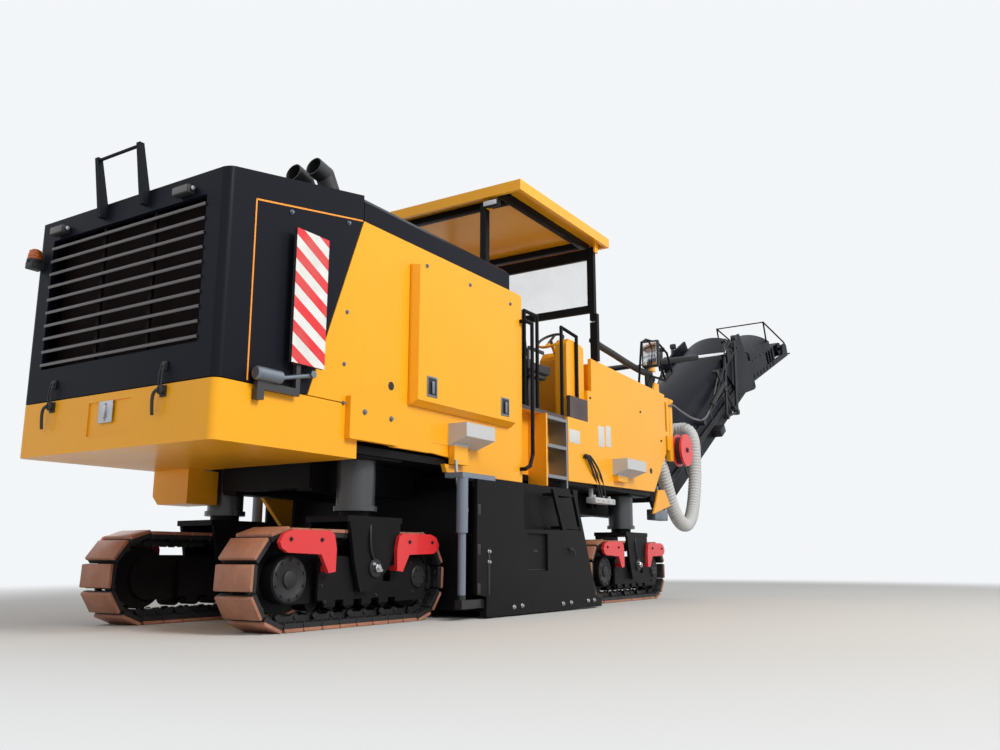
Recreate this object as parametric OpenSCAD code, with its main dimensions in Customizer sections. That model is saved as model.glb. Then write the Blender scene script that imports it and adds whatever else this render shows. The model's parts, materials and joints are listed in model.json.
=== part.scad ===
// Cold planer milling machine on four crawler tracks.
// X runs forward, towards the discharge conveyor, Y to the left and Z up from the ground.
// Places along the machine are written as distances ahead of the rear face.

/* [Body] */
// Width over the engine hood and the side panels
body_w = 2100; // [1900:10:2160]
// Height of the underside of the rear skirt
skirt_z = 1210; // [1180:5:1260]
// Height of the seam between the skirt and the rear hood
seam_z = 1600; // [1500:10:1700]
// Height of the hood's rear top edge
hood_rear_z = 3010; // [2900:10:3060]
// Height of the hood's flat top
hood_top_z = 3270; // [3220:10:3400]
// Distance from the rear face to the bend of the hood's top
hood_bend_x = 1335; // [1250:5:1400]
// Front end of the engine hood
hood_front_x = 3500; // [3400:10:3560]
// Front end of the rear side panels
side_front_x = 3730; // [3650:10:3760]
// Height of the top edge of the side panels
side_top_z = 3060; // [3000:10:3120]
// Thickness of the body panels
panel_t = 40; // [30:5:60]
// Radius of the rear corners
corner_r = 60; // [40:5:90]
// Gap between panels that open and those that don't
reveal = 8; // [6:1:12]

/* [Front body] */
// Rear edge of the front side panels
front_x0 = 4680; // [4600:10:4720]
// Front end of the machine's body
front_x1 = 7440; // [7300:10:7500]
// Height of the top of the front body
front_top_z = 2690; // [2600:10:2760]
// Height of the underside of the front body
front_low_z = 1320; // [1290:5:1360]

/* [Platform] */
// Height of the operator's floor
floor_z = 1980; // [1900:10:2050]
// Height of the top of the canopy
canopy_z = 4220; // [4100:10:4300]
// Depth of the canopy's edge
canopy_lip = 110; // [80:5:140]
// Width of the canopy
canopy_w = 2300; // [2100:10:2400]
// Rear end of the canopy
canopy_x0 = 3550; // [3500:10:3650]
// Front end of the canopy
canopy_x1 = 5610; // [5500:10:5700]
// Height of the pivots on which the canopy's posts lean back
canopy_pivot_z = 3230; // [3220:5:3260]

/* [Tracks] */
// Distance between the centre planes of the left and right tracks
track_gauge = 1476; // [1440:4:1480]
// Overall length of a track
track_l = 2140; // [2060:10:2200]
// Overall height of a track
track_h = 700; // [660:10:730]
// Width of a track pad
pad_w = 350; // [320:5:370]
// Number of pads on a track
pad_n = 26; // [22:1:28]
// Thickness of a pad
pad_t = 60; // [50:5:70]
// Lift column of the rear tracks
rear_col_x = 1700; // [1660:10:1740]
// Lift column of the front tracks
front_col_x = 6640; // [6600:10:6700]
// How far a lift column stands ahead of the middle of its track
col_lead = 125; // [100:5:140]
// Diameter of an outer lift column
col_d = 300; // [260:5:320]

/* [Milling unit] */
// Drum axis ahead of the rear face
drum_x = 3850; // [3800:10:3900]
// Height of the drum axis when parked
drum_z = 540; // [530:5:560]
// Diameter over the tips of the picks
drum_d = 980; // [940:10:1000]
// Milling width
drum_w = 2000; // [1900:10:2020]
// Width over the side plates, the widest on the machine
plates_w = 2500; // [2460:10:2560]

/* [Conveyor] */
// Slew axis ahead of the rear face
slew_x = 8000; // [7960:10:8060]
// Angle by which the conveyor is slewed to the right
slew_a = 3; // [0:0.5:5]
// Angle of the lower section above level
rise_a = 32; // [30:0.5:34]
// Angle by which the upper section is folded down from the lower
fold_a = 10; // [8:0.5:14]
// Length of the lower section from its hinge to the fold hinge
lower_l = 4750; // [4600:10:4900]
// Length of the upper section from the fold hinge
upper_l = 2500; // [2400:10:2600]
// Width of the conveyor over its side frames
conv_w = 1000; // [900:10:1040]

/* [Hidden] */

yellow = "#f6a81c";
black = "#23242a";
dark = "#2b2b2e";
maroon = "#3a1818";
red = "#e0303a";
bronze = "#b5694a";
grey = "#9a9ca2";
steel = "#c8ccd2";

half_w = body_w / 2;
inner_w = half_w - panel_t;
fit = 0.3;

// The conveyor's tip, worked out along its two sections, sets the middle of the whole machine
hinge_s = 420;
hinge_z = 1430;
upper_a = rise_a - fold_a;
fold_v = -360;
guard_d = 30;
tip_u = upper_l + 110;
tip_v = 75;
tip_s = hinge_s + lower_l * cos(rise_a) - fold_v * sin(rise_a) + tip_u * cos(upper_a) - tip_v * sin(upper_a)
    + guard_d / 2;
tip_x = slew_x + tip_s * cos(slew_a) + conv_w / 2 * sin(slew_a);
beacon_x = -60;
beacon_d = 110;
beacon_y = 990;
origin_x = (tip_x + beacon_x - beacon_d / 2) / 2;

// Extrudes an outline drawn in X and Z from y0 to y1
module across(y0, y1) {
    translate([0, y1, 0]) rotate([90, 0, 0]) linear_extrude(height = y1 - y0) children();
}

// Extrudes an outline drawn in Y and Z from x0 to x1
module along(x0, x1) {
    translate([x0, 0, 0]) rotate([90, 0, 90]) linear_extrude(height = x1 - x0) children();
}

module both_sides() {
    children();
    mirror([0, 1, 0]) children();
}

module box(x0, x1, y0, y1, z0, z1) {
    translate([x0, y0, z0]) cube([x1 - x0, y1 - y0, z1 - z0]);
}

// A round bar from one point to another
module bar(p, q, d) {
    v = q - p;
    translate(p) rotate([0, acos(v[2] / norm(v)), atan2(v[1], v[0])]) cylinder(d = d, h = norm(v), $fn = 24);
}

// Bars along a list of points, with a ball at each bend
module tube(points, d) {
    for (i = [0 : len(points) - 2]) bar(points[i], points[i + 1], d);
    for (i = [1 : len(points) - 2]) translate(points[i]) sphere(d = d + 2, $fn = 24);
}

// Moves from the rear face's frame to the machine's own origin
module placed() {
    translate([-origin_x, 0, 0]) children();
}

// Frame and deck

frame_w = 1000;
frame_z0 = 1010;
frame_z1 = 1262;
frame_beam_w = 160;
deck_z = 1260;
deck_t = 60;
deck_top = deck_z + deck_t;
lug_z0 = 1180;
lug_z1 = 2380;
lug_t = 80;
slew_pin_d = 120;
nose_x = front_x1 - 60;
// Eyes for lifting and lashing down
tie_x = [2050, 6200];
tie_y = 560;
tie_t = 40;
tie_z = 1130;
tie_r = 35;

module chassis() color(dark) placed() {
    difference() {
        union() {
            both_sides() box(1460, front_x1 - 200, frame_w / 2 - frame_beam_w, frame_w / 2, frame_z0, frame_z1);
            box(120, side_front_x, -inner_w, inner_w, deck_z, deck_top);
            box(side_front_x - 1, front_x0, -bay_y, bay_y, deck_z, deck_top);
            box(front_x0 - 1, 6950, -inner_w, inner_w, deck_z, deck_top);
            for (x = [rear_col_x, front_col_x]) both_sides()
                box(x - 260, x + 260, frame_w / 2 - 1, 980, deck_z - 20, deck_z + 1);
            for (x = [1500, 2500, 5300, 7000])
                box(x - 60, x + 60, -frame_w / 2 + 10, frame_w / 2 - 10, frame_z0 + 20, deck_z + 1);
            for (x = tie_x) both_sides() {
                across(tie_y, tie_y + tie_t) polygon([[x - 140, deck_z + 1], [x - 60, tie_z - 50], [x + 60, tie_z - 50],
                    [x + 140, deck_z + 1]]);
            }
            hull() {
                translate([slew_x, 0, lug_z0]) cylinder(d = 260, h = lug_t, $fn = 32);
                box(nose_x - 200, nose_x - 190, -340, 340, lug_z0, lug_z0 + lug_t);
            }
        }
        // room for the drum housing
        box(2750, 4870, -frame_w / 2 - 1, frame_w / 2 + 1, frame_z0 - 1, housing_z1);
        for (x = [rear_col_x, front_col_x]) both_sides()
            translate([x, track_gauge / 2, deck_z - 150]) cylinder(d = col_d + 2 * fit, h = 149, $fn = 64);
        translate([slew_x, 0, lug_z0 - 10]) cylinder(d = slew_pin_d + 2 * fit, h = lug_t + 20, $fn = 48);
        for (x = tie_x) translate([x, 0, tie_z]) rotate([90, 0, 0])
            cylinder(r = tie_r, h = 3 * half_w, center = true, $fn = 48);
    }
    // upper lug of the slew axis, on the front body's face
    difference() {
        hull() {
            translate([slew_x, 0, lug_z1]) cylinder(d = 260, h = lug_t, $fn = 32);
            box(nose_x, nose_x + 10, -340, 340, lug_z1, lug_z1 + lug_t);
        }
        translate([slew_x, 0, lug_z1 - 10]) cylinder(d = slew_pin_d + 2 * fit, h = lug_t + 20, $fn = 48);
    }
}

// Rear skirt, a tray with rounded rear corners that closes the body below the hood

skirt_front_x = hood_bend_x;

module skirt_outline(inset) {
    r = corner_r;
    x0 = inset;
    y = half_w - inset;
    hull() {
        for (s = [-1, 1]) translate([x0 + r, s * (y - r)]) circle(r = r, $fn = 48);
        translate([skirt_front_x - inset - 1, -y]) square([1, 2 * y]);
    }
}

module skirt() color(yellow) placed() difference() {
    translate([0, 0, skirt_z]) linear_extrude(height = seam_z - skirt_z) skirt_outline(0);
    translate([0, 0, skirt_z + panel_t]) linear_extrude(height = seam_z) skirt_outline(panel_t);
    // recess of the hatch
    box(-1, 12, -230, 230, 1310, 1545);
    box(skirt_front_x - 2 * panel_t, skirt_front_x + 1, -inner_w, inner_w, skirt_z + panel_t, seam_z + 1);
}

// Rear side panels; the slanted rear edge leaves room for the hood to swing

slant_low_x = 800;
door_x0 = 1930;
door_x1 = 3480;
door_z0 = 1700;
door_z1 = 2880;
door_proud = 90;

module side_outline() {
    polygon([[slant_low_x + reveal, seam_z + reveal], [hood_bend_x + reveal, side_top_z],
        [side_front_x - 40, side_top_z], [side_front_x, side_top_z - 30], [side_front_x, 1205],
        [2480, 1205], [2450, 1272], [2720, 1272], [2720, 1335], [2830, 1430], [2250, 1430], [2250, 1342],
        [1768, 1342], [1640, 1385], [skirt_front_x, 1385],
        [skirt_front_x, seam_z + reveal]]);
}

module side_panels() color(yellow) placed() both_sides() {
    difference() {
        across(-half_w, -inner_w) side_outline();
        box(door_x0 + 60, door_x1 - 60, -half_w - 1, -inner_w + 1, door_z0 + 60, door_z1 - 60);
    }
    // raised step plate, which reaches back over the skirt
    box(1200, 1765, -half_w - 50, -half_w, 1345, 1660);
    box(skirt_front_x + 20, 1740, -half_w - 1, -half_w + 1, 1400, 1640);
}

// Top hood over the engine

hood_edge_r = 50;
knuckle_d = 30;

module hood_section(z, inset) {
    y = half_w - inset;
    polygon([[-y, side_top_z], [-y, z - inset - hood_edge_r], [-y + hood_edge_r, z - inset],
        [y - hood_edge_r, z - inset], [y, z - inset - hood_edge_r], [y, side_top_z]]);
}

module top_hood() color(black) placed() {
    hood_saddles();
    difference() {
    along(hood_bend_x + reveal, hood_front_x) hood_section(hood_top_z, 0);
    translate([0, 0, -1]) along(hood_bend_x + reveal - 1, hood_front_x - panel_t) hood_section(hood_top_z, panel_t);
    // openings of the exhaust pipes
    for (e = exhaust_places) translate([e[0], e[1], hood_top_z - 2 * panel_t])
        cylinder(d = exhaust_d + 40, h = 3 * panel_t, $fn = 48);
    }
}

// Saddles on which the rear hood's knuckles turn
module hood_saddles() both_sides()
    box(hood_bend_x + reveal, hood_bend_x + 90, -800, -600, hood_top_z - 1, rear_hood_pin[1] - knuckle_d / 2 - fit);

// Rear hood, which swings up about pins on the hood's top

rear_hood_pin = [hood_bend_x + 5, hood_top_z + 22];
grille_y = 855;
grille_z0 = 1850;
grille_z1 = 2850;

module rear_hood_side(inset) {
    polygon([[inset, seam_z + reveal], [inset, hood_rear_z - inset], [hood_bend_x, hood_top_z - inset],
        [hood_bend_x, side_top_z - inset], [slant_low_x, seam_z + reveal]]);
}

module rear_hood_plan(inset) {
    hull() {
        for (s = [-1, 1]) translate([corner_r, s * (half_w - corner_r)]) circle(r = corner_r - inset, $fn = 48);
        translate([hood_bend_x, -half_w + inset]) square([1, 2 * (half_w - inset)]);
    }
}

module rear_hood() color(black) placed() {
    difference() {
        intersection() {
            across(-half_w, half_w) rear_hood_side(0);
            translate([0, 0, seam_z]) linear_extrude(height = 2000) rear_hood_plan(0);
        }
        difference() {
            across(-inner_w, inner_w) polygon([[panel_t, 0], [panel_t, hood_rear_z - panel_t],
                [hood_bend_x + 2, hood_top_z - panel_t], [hood_bend_x + 2, 0]]);
        }
        box(-1, panel_t + 1, -grille_y, grille_y, grille_z0, grille_z1);
    }
    // hinge knuckles on the top edge, with their leaves
    both_sides() {
        translate([rear_hood_pin[0], -700, rear_hood_pin[1]]) rotate([90, 0, 0])
            cylinder(d = knuckle_d, h = 180, center = true, $fn = 24);
        across(-790, -610) polygon([[hood_bend_x - 80, hood_top_z - 30], [hood_bend_x - 80, hood_top_z + 4],
            [rear_hood_pin[0], rear_hood_pin[1] + knuckle_d / 2 - 1], [rear_hood_pin[0] - 8, hood_top_z - 10]]);
    }
}

louvre_n = 10;
louvre_a = 35;

module louvres() color(dark) placed() {
    pitch = (grille_z1 - grille_z0) / louvre_n;
    for (i = [0 : louvre_n - 1])
        translate([18, -grille_y, grille_z0 + (i + 0.5) * pitch]) rotate([0, -louvre_a, 0])
            translate([-32, 0, -4]) cube([64, 2 * grille_y, 8]);
    for (y = [-grille_y / 3, grille_y / 3]) box(panel_t, panel_t + 20, y - 15, y + 15, grille_z0, grille_z1);
}

module hood_guard() color(black) placed() {
    for (y = [-250, 220]) across(y, y + 40)
        polygon([[-50, hood_rear_z - 110], [0, hood_rear_z - 110], [0, hood_rear_z - 5], [-75, 3335], [-112, 3335]]);
    bar([-92, -230, 3318], [-92, 240, 3318], 24);
}

// Engine side doors, hinged along their top edge

door_hinge_d = 24;
door_gap = 5;
door_hinge = [-half_w - door_hinge_d / 2 - fit, door_z1 + 14];

module engine_door() {
    face_y = -half_w - door_proud;
    back_y = -half_w - door_gap;
    difference() {
        hull() {
            box(door_x0, door_x1, back_y - 20, back_y, door_z0, door_z1);
            box(door_x0 + 20, door_x1 - 20, face_y, face_y + 10, door_z0 + 40, door_z1 - 12);
        }
        hull() {
            box(door_x0 + 30, door_x1 - 30, back_y - 20, back_y + 1, door_z0 + 30, door_z1 - 30);
            box(door_x0 + 44, door_x1 - 44, face_y + 20, face_y + 30, door_z0 + 64, door_z1 - 36);
        }
    }
    // hinge tubes along the top edge
    for (x = [door_x0 + 200, door_x1 - 400]) {
        translate([x, door_hinge[0], door_hinge[1]]) rotate([0, 90, 0]) cylinder(d = door_hinge_d, h = 200, $fn = 24);
        box(x, x + 200, door_hinge[0] - 10, door_hinge[0] + 4, door_z1 - 30, door_hinge[1]);
    }
}

module engine_door_right() color(yellow) placed() engine_door();

module engine_door_left() color(yellow) placed() mirror([0, 1, 0]) engine_door();

module engine_block() color(grey) placed() box(1500, 3000, -480, 480, deck_top, 2560);

module cooler() color(dark) placed() box(120, 420, -870, 870, deck_top, 2860);

exhaust_d = 160;
exhaust_places = [[1560, -500], [1560, -270]];
// Bends of a pipe, from the engine to its open end behind the bend
exhaust_bends = [[0, 2560], [0, 3450], [-100, 3615], [-235, 3648]];

module exhausts() color(dark) placed() for (e = exhaust_places) {
    pipe = [for (b = exhaust_bends) [e[0] + b[0], e[1], b[1]]];
    outlet = (pipe[3] - pipe[2]) / norm(pipe[3] - pipe[2]);
    difference() {
        tube(pipe, exhaust_d);
        bar(pipe[3] - outlet * 120, pipe[3] + outlet * 20, exhaust_d - 16);
    }
}

// Boxes below the body that the left side alone carries
module tank_boxes() color(yellow) placed() {
    along(1190, 1500) polygon([[617, skirt_z], [half_w, skirt_z], [half_w, 1000], [980, 930], [617, 930]]);
    across(965, 1008) polygon([[2140, deck_z], [2730, deck_z], [2730, 800], [2600, 800]]);
}

// Outer lift columns, open at the foot where the inner legs slide in

column_foot_z = 850;
column_top_z = deck_z - 2;

module lift_columns() color(dark) placed() for (x = [rear_col_x, front_col_x]) both_sides()
    translate([x, track_gauge / 2, 0]) difference() {
        union() {
            translate([0, 0, column_foot_z]) cylinder(d = col_d, h = column_top_z - column_foot_z, $fn = 64);
            translate([0, 0, column_foot_z]) cylinder(d = col_d + 40, h = 40, $fn = 64);
        }
        translate([0, 0, column_foot_z - 1]) cylinder(d = leg_d + 2 * fit, h = 380, $fn = 64);
    }

leg_d = 240;

// Front body with the channel of the inner conveyor

front_step_x = 5260;
channel_w = 840;
channel_z0 = 1420;
channel_z1 = 2300;

function nose_top(x) = front_top_z - 20 - 60 * (x - 5330) / (nose_x - 5330);

module front_body() color(yellow) placed() {
    both_sides() across(-half_w, -inner_w)
        polygon([[front_x0, front_low_z - 30], [front_x0, floor_z - 10], [5160, floor_z - 10], [5160, 2330],
            [front_step_x, 2330], [front_step_x, front_top_z + 20], [6640, front_top_z - 30], [front_x1, front_top_z - 60],
            [front_x1, 1850], [7000, front_low_z]]);
    both_sides() {
        // feet of the mirror guard
        for (x = [6850, 7120]) translate([x, -950, nose_top(x) - 40]) cylinder(d = 70, h = 52, $fn = 32);
        // eye plate, nose post and the brackets between the post and the body
        across(-1012, -985) polygon([[7150, nose_top(7150) - 1], [7240, nose_top(7240) + 150],
            [7360, nose_top(7360) + 150], [7370, nose_top(7370) - 1]]);
        box(front_x1 + 60, front_x1 + 150, -half_w, -half_w + 25, 1900, front_top_z - 90);
        for (z = [2080, front_top_z - 160]) box(front_x1 - 1, front_x1 + 61, -half_w, -half_w + 25, z, z + 60);
    }
    difference() {
        across(-inner_w, inner_w)
            polygon([[5330, deck_top], [5330, front_top_z - 20], [nose_x, nose_top(nose_x)], [nose_x, 1900],
                [6960, deck_top]]);
        across(-channel_w / 2, channel_w / 2)
            polygon([[5320, channel_z0], [5320, channel_z0 + 700], [front_x1 + 1, channel_z1], [front_x1 + 1, 1200],
                [6900, 1200], [6700, channel_z0]]);
    }
}

// Operator's place

bay_y = 860;
bulkhead_x = side_front_x - 40;

module platform() color(maroon) placed() {
    box(bulkhead_x + 1, 5320, -inner_w, inner_w, floor_z - 40, floor_z);
    box(bulkhead_x, side_front_x, -inner_w, inner_w, deck_top, side_top_z);
    both_sides() {
        box(4740, 5160, -half_w, -inner_w + 1, floor_z - 8, 2210);
        box(side_front_x - 1, front_x0 - 20, -bay_y, -bay_y + 40, deck_top, floor_z - 39);
        // stubs that carry the canopy's rear posts
        box(rear_post_x - 35, bulkhead_x + 1, -rear_post_y - 35, -rear_post_y + 35, side_top_z - 300,
            canopy_pivot_z - 60);
        box(rear_post_x - 35, rear_post_x + 35, -rear_post_y - 75, -rear_post_y - 45, side_top_z - 300,
            canopy_pivot_z + 40);
        box(rear_post_x - 35, rear_post_x + 35, -rear_post_y - 46, -rear_post_y - 34, side_top_z - 300,
            canopy_pivot_z - 60);
        translate([rear_post_x, -rear_post_y - 60, canopy_pivot_z]) rotate([-90, 0, 0])
            cylinder(d = post_pin_d, h = 95, $fn = 24);
    }
    box(5280, 5320, -inner_w, inner_w, deck_top, floor_z - 39);
}

module console() color(yellow) placed() both_sides() {
    // side cabinet with a recess between its two doors
    difference() {
        across(-1008, -870) polygon([[4750, floor_z], [4750, 2790], [4800, 2850], [4990, 2850], [5160, 2810],
            [5160, floor_z]]);
        box(4935, 4965, -1009, -990, 2240, 2860);
    }
    across(-871, -500) polygon([[5060, floor_z], [5060, 2700], [5140, 2800], [5160, 2800], [5160, floor_z]]);
    across(-900, -500) polygon([[5159, floor_z], [5159, 2800], [5320, 2800], [5320, floor_z]]);
    bar([5130, -700, 2700], [4960, -700, 2900], 40);
    translate([4960, -700, 2900]) rotate([0, -40, 0]) rotate_extrude($fn = 48) translate([150, 0]) circle(d = 30, $fn = 16);
    translate([4960, -700, 2900]) rotate([0, -40, 0]) difference() {
        cube([300, 30, 14], center = true);
    }
}

module seats() color(dark) placed() both_sides() translate([4300, -700, floor_z]) {
    cylinder(d = 90, h = 420, $fn = 32);
    translate([-230, -240, 420]) cube([480, 480, 120]);
    hull() {
        translate([-250, -230, 540]) cube([110, 460, 20]);
        translate([-330, -200, 1040]) cube([80, 400, 20]);
    }
}

rail_d = 38;

module handrails() color(dark) placed() both_sides() {
    y = -half_w - 55;
    x = side_front_x - 30;
    tube([[x, -half_w, 2790], [x, y, 2790], [x + 140, y, 2790], [x + 140, y, 1480], [x + 90, y, 1370],
        [x, y, 1330], [x, -half_w, 1330]], rail_d);
    tube([[3900, -980, floor_z], [3900, -980, 2960], [4160, -980, 2960], [4160, -980, floor_z]], rail_d);
    tube([[4690, -980, floor_z], [4690, -980, 2960], [4950, -1030, 2900], [4950, -1030, 2211]], rail_d);
}

module ladders() color(grey) placed() both_sides() {
    y0 = -half_w - 20;
    for (x = [4170, 4600]) box(x, x + 30, y0, -bay_y, housing_z1 + 5, floor_z - 42);
    for (z = [1290, 1600, 1890]) box(4199, 4601, y0, -900, z, z + 35);
}

// Milling unit

drum_wall = 45;
housing_half = drum_w / 2 + 60;
// room between the ladder's steps and the housing
step_room = 40;
housing_z1 = 1200;
drum_room = 55;
shaft_d = 160;

module drum_housing() color(dark) placed() {
    difference() {
        across(-housing_half, housing_half)
            polygon([[2860, 130], [2860, housing_z1], [4860, housing_z1], [4860, 420], [4520, 130]]);
        across(-housing_half + drum_wall, housing_half - drum_wall) {
            translate([drum_x, drum_z]) circle(r = drum_d / 2 + drum_room, $fn = 96);
            translate([drum_x - drum_d / 2 - drum_room, 0]) square([drum_d + 2 * drum_room, drum_z]);
        }
        translate([drum_x, 0, drum_z]) rotate([90, 0, 0]) cylinder(d = shaft_d + 2 * fit, h = plates_w, center = true, $fn = 48);
    }
    // rear scraper and the mounts to the frame
    box(2760, 2861, -housing_half, housing_half, 60, 1080);
    for (x = [3100, 4400]) both_sides() box(x, x + 260, 501, 800, housing_z1 - 1, deck_z);
}

module plate_outline() {
    difference() {
        polygon([[2800, 12], [4990, 12], [5000, 90], [4870, 120], [4610, 770], [3415, 750], [3415, 1150],
            [2650, 1150], [2650, 200], [2800, 180]]);
        translate([3480, 380]) square([380, 340]);
    }
}

module side_plates() color(dark) placed() both_sides() {
    across(-plates_w / 2, -plates_w / 2 + 30) plate_outline();
    across(-plates_w / 2 + 30, -plates_w / 2 + 60) polygon([[3440, 340], [3900, 340], [3900, 760], [3440, 760]]);
    for (k = [[2840, 1100], [3300, 1100], [4200, 700]])
        box(k[0], k[0] + 90, -plates_w / 2 + 30, -housing_half - fit, 200, k[1]);
    box(2800, 4980, -plates_w / 2, -plates_w / 2 + 70, 12, 60);
    // lower ladder on the plate's top edge
    across(-plates_w / 2, -plates_w / 2 + 30) {
        polygon([[4180, 740], [4250, 740], [4040, 1150], [3970, 1150]]);
        polygon([[4595, 740], [4622, 740], [4440, 1170], [4380, 1170], [4560, 740]]);
    }
    for (k = [[4030, 4420, 1095], [4190, 4580, 780]])
        box(k[0], k[1], -plates_w / 2 + 5, -housing_half - step_room, k[2], k[2] + 25);
}

cyl_x = 2500;
cyl_y = -plates_w / 2 + 50;

module plate_cylinders() color(grey) placed() both_sides() {
    translate([cyl_x, cyl_y, 700]) cylinder(d = 96, h = 456, $fn = 32);
    translate([cyl_x, cyl_y, 150]) cylinder(d = 66, h = 560, $fn = 32);
    // foot to the side plate and head bracket to the housing
    box(cyl_x - 45, 2650, cyl_y - 35, cyl_y + 35, 90, 160);
    box(2649, 2800, cyl_y - 19, cyl_y + 35, 90, 160);
    box(cyl_x - 55, 2950, cyl_y - 40, -housing_half - fit, 1153, 1195);
}

pick_rows = 4;
pick_n = 22;

module milling_drum() color(grey) placed() translate([drum_x, 0, drum_z]) {
    body_r = drum_d / 2 - 118;
    rotate([90, 0, 0]) cylinder(r = body_r, h = drum_w - 20, center = true, $fn = 96);
    rotate([90, 0, 0]) cylinder(d = shaft_d, h = drum_w + 60, center = true, $fn = 48);
    // picks on helical flights that run in from both ends
    for (f = [0 : pick_rows - 1], i = [0 : pick_n - 1]) {
        t = (i + 0.5) / pick_n;
        side = t < 0.5 ? t : 1 - t;
        rotate([0, f * 360 / pick_rows + side * 400, 0]) translate([0, (t - 0.5) * (drum_w - 60), body_r - 10]) {
            translate([-30, -30, 0]) cube([60, 60, 70]);
            translate([0, 0, 65]) rotate([0, 30, 0]) cylinder(d1 = 50, d2 = 10, h = 70, $fn = 8);
        }
    }
}

// Tracks; one unit is drawn round its lift column, which stands at the origin

track_r = track_h / 2;
wheel_gap = track_l - track_h;
track_mid = -col_lead;
chain_t = 55;
pad_pitch = (2 * wheel_gap + PI * (track_h - pad_t)) / pad_n;

function loop_turn(r) = PI * r;
// Point and heading at distance s round a loop of radius r that starts at the rear of the lower run
function loop_at(s, r) =
    s < wheel_gap ? [track_mid - wheel_gap / 2 + s, track_r - r, 0] :
    s < wheel_gap + loop_turn(r) ?
        let (a = (s - wheel_gap) / r * 180 / PI)
        [track_mid + wheel_gap / 2 + r * sin(a), track_r - r * cos(a), a] :
    s < 2 * wheel_gap + loop_turn(r) ?
        [track_mid + wheel_gap / 2 - (s - wheel_gap - loop_turn(r)), track_r + r, 180] :
        let (a = (s - 2 * wheel_gap - loop_turn(r)) / r * 180 / PI)
        [track_mid - wheel_gap / 2 - r * sin(a), track_r + r * cos(a), 180 + a];

yoke_y = pad_w / 2 + 8;
yoke_t = 30;
guard_y = yoke_y + yoke_t + 6;
guard_t = 32;
plate_y = 160;
hub_r = 165;

module stadium(r) {
    hull() for (s = [-1, 1]) translate([track_mid + s * wheel_gap / 2, track_r]) circle(r = r, $fn = 72);
}

module track_loop() color(bronze) {
    r_mid = track_r - pad_t / 2;
    across(-pad_w / 2, pad_w / 2) difference() {
        stadium(track_r - pad_t * 0.5);
        stadium(track_r - pad_t);
    }
    across(-60, 60) difference() {
        stadium(track_r - pad_t + 2);
        stadium(track_r - pad_t - chain_t);
    }
    across(-pad_w / 2, pad_w / 2) intersection() {
        stadium(track_r);
        for (i = [0 : pad_n - 1]) {
            p = loop_at((i + 0.5) * pad_pitch, r_mid);
            translate([p[0], p[1]]) rotate(p[2])
                translate([-pad_pitch / 2 + 8, -pad_t / 2 - 12]) square([pad_pitch - 16, pad_t + 12]);
        }
    }
}

module track_frame() color(dark) {
    wheel_r = track_r - pad_t - chain_t - fit;
    // rail beam with a notched lower edge
    across(-90, 90) difference() {
        hull() for (s = [-1, 1]) translate([track_mid + s * (wheel_gap / 2 - 60), track_r]) circle(r = 170, $fn = 32);
        for (k = [-2 : 2]) translate([track_mid + k * 200 - 20, track_r - 190]) square([40, 90]);
    }
    for (s = [-1, 1]) translate([track_mid + s * wheel_gap / 2, 0, track_r]) rotate([90, 0, 0])
        cylinder(r = wheel_r, h = 110, center = true, $fn = 64);
    // drive hub on the outer side
    translate([track_mid - wheel_gap / 2, -pad_w / 2 + 8, track_r]) rotate([-90, 0, 0])
        cylinder(r = hub_r, h = 160, $fn = 64);
    // side plates with a notch over each roller, and the blocks that carry them
    both_sides() {
        across(-plate_y, -plate_y + 25) difference() {
            polygon([[track_mid - 430, 150], [track_mid - 430, 470], [track_mid - 380, 510], [track_mid + 760, 500],
                [track_mid + 840, 420], [track_mid + 840, 260], [track_mid + 760, 170]]);
            for (k = [-2 : 2]) translate([track_mid + k * 200 - 45, 140]) square([90, 60]);
            translate([track_mid + 290, 320]) square([90, 90]);
        }
        for (x = [-300, 195]) box(track_mid + x, track_mid + x + 90, -plate_y + 24, -89, 270, 430);
    }
    // lower rollers
    for (k = [-2 : 2]) translate([track_mid + k * 200, 0, pad_t + chain_t + 12 + 62]) rotate([90, 0, 0])
        cylinder(r = 62, h = 140, center = true, $fn = 32);
    // yoke from the inner leg down to the frame's pin
    for (y = [-yoke_y - yoke_t, yoke_y]) across(y, y + yoke_t)
        polygon([[-300, 800], [300, 800], [300, 700], [170, 420], [-60, 250], [-160, 250], [-230, 460]]);
    box(-320, 320, -yoke_y - yoke_t, yoke_y + yoke_t, 760, 805);
    translate([0, 0, 800]) cylinder(d = leg_d, h = 380, $fn = 64);
    translate([0, 0, 420]) rotate([90, 0, 0]) cylinder(d = 110, h = 2 * yoke_y + yoke_t, center = true, $fn = 32);
}

module track_guards() color(red) for (m = [0, 1]) translate([track_mid, 0, 0]) mirror([m, 0, 0]) {
    across(-guard_y - guard_t, -guard_y)
        polygon([[-900, 600], [-860, 660], [-780, 685], [-420, 685], [-370, 660], [-345, 560], [-350, 400],
            [-420, 390], [-500, 520], [-820, 530], [-880, 560]]);
    box(-410, -360, -guard_y - 1, -plate_y, 400, 440);
}

module at_track(x, side) placed() translate([x, side * track_gauge / 2, 0]) mirror([0, side > 0 ? 1 : 0, 0])
    children();

module track_frame_rr() at_track(rear_col_x, -1) track_frame();
module track_frame_rl() at_track(rear_col_x, 1) track_frame();
module track_frame_fr() at_track(front_col_x, -1) track_frame();
module track_frame_fl() at_track(front_col_x, 1) track_frame();
module track_loop_rr() at_track(rear_col_x, -1) track_loop();
module track_loop_rl() at_track(rear_col_x, 1) track_loop();
module track_loop_fr() at_track(front_col_x, -1) track_loop();
module track_loop_fl() at_track(front_col_x, 1) track_loop();
module track_guards_rr() at_track(rear_col_x, -1) track_guards();
module track_guards_rl() at_track(rear_col_x, 1) track_guards();
module track_guards_fr() at_track(front_col_x, -1) track_guards();
module track_guards_fl() at_track(front_col_x, 1) track_guards();

// Canopy on a parallelogram of posts that leans back for transport

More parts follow.
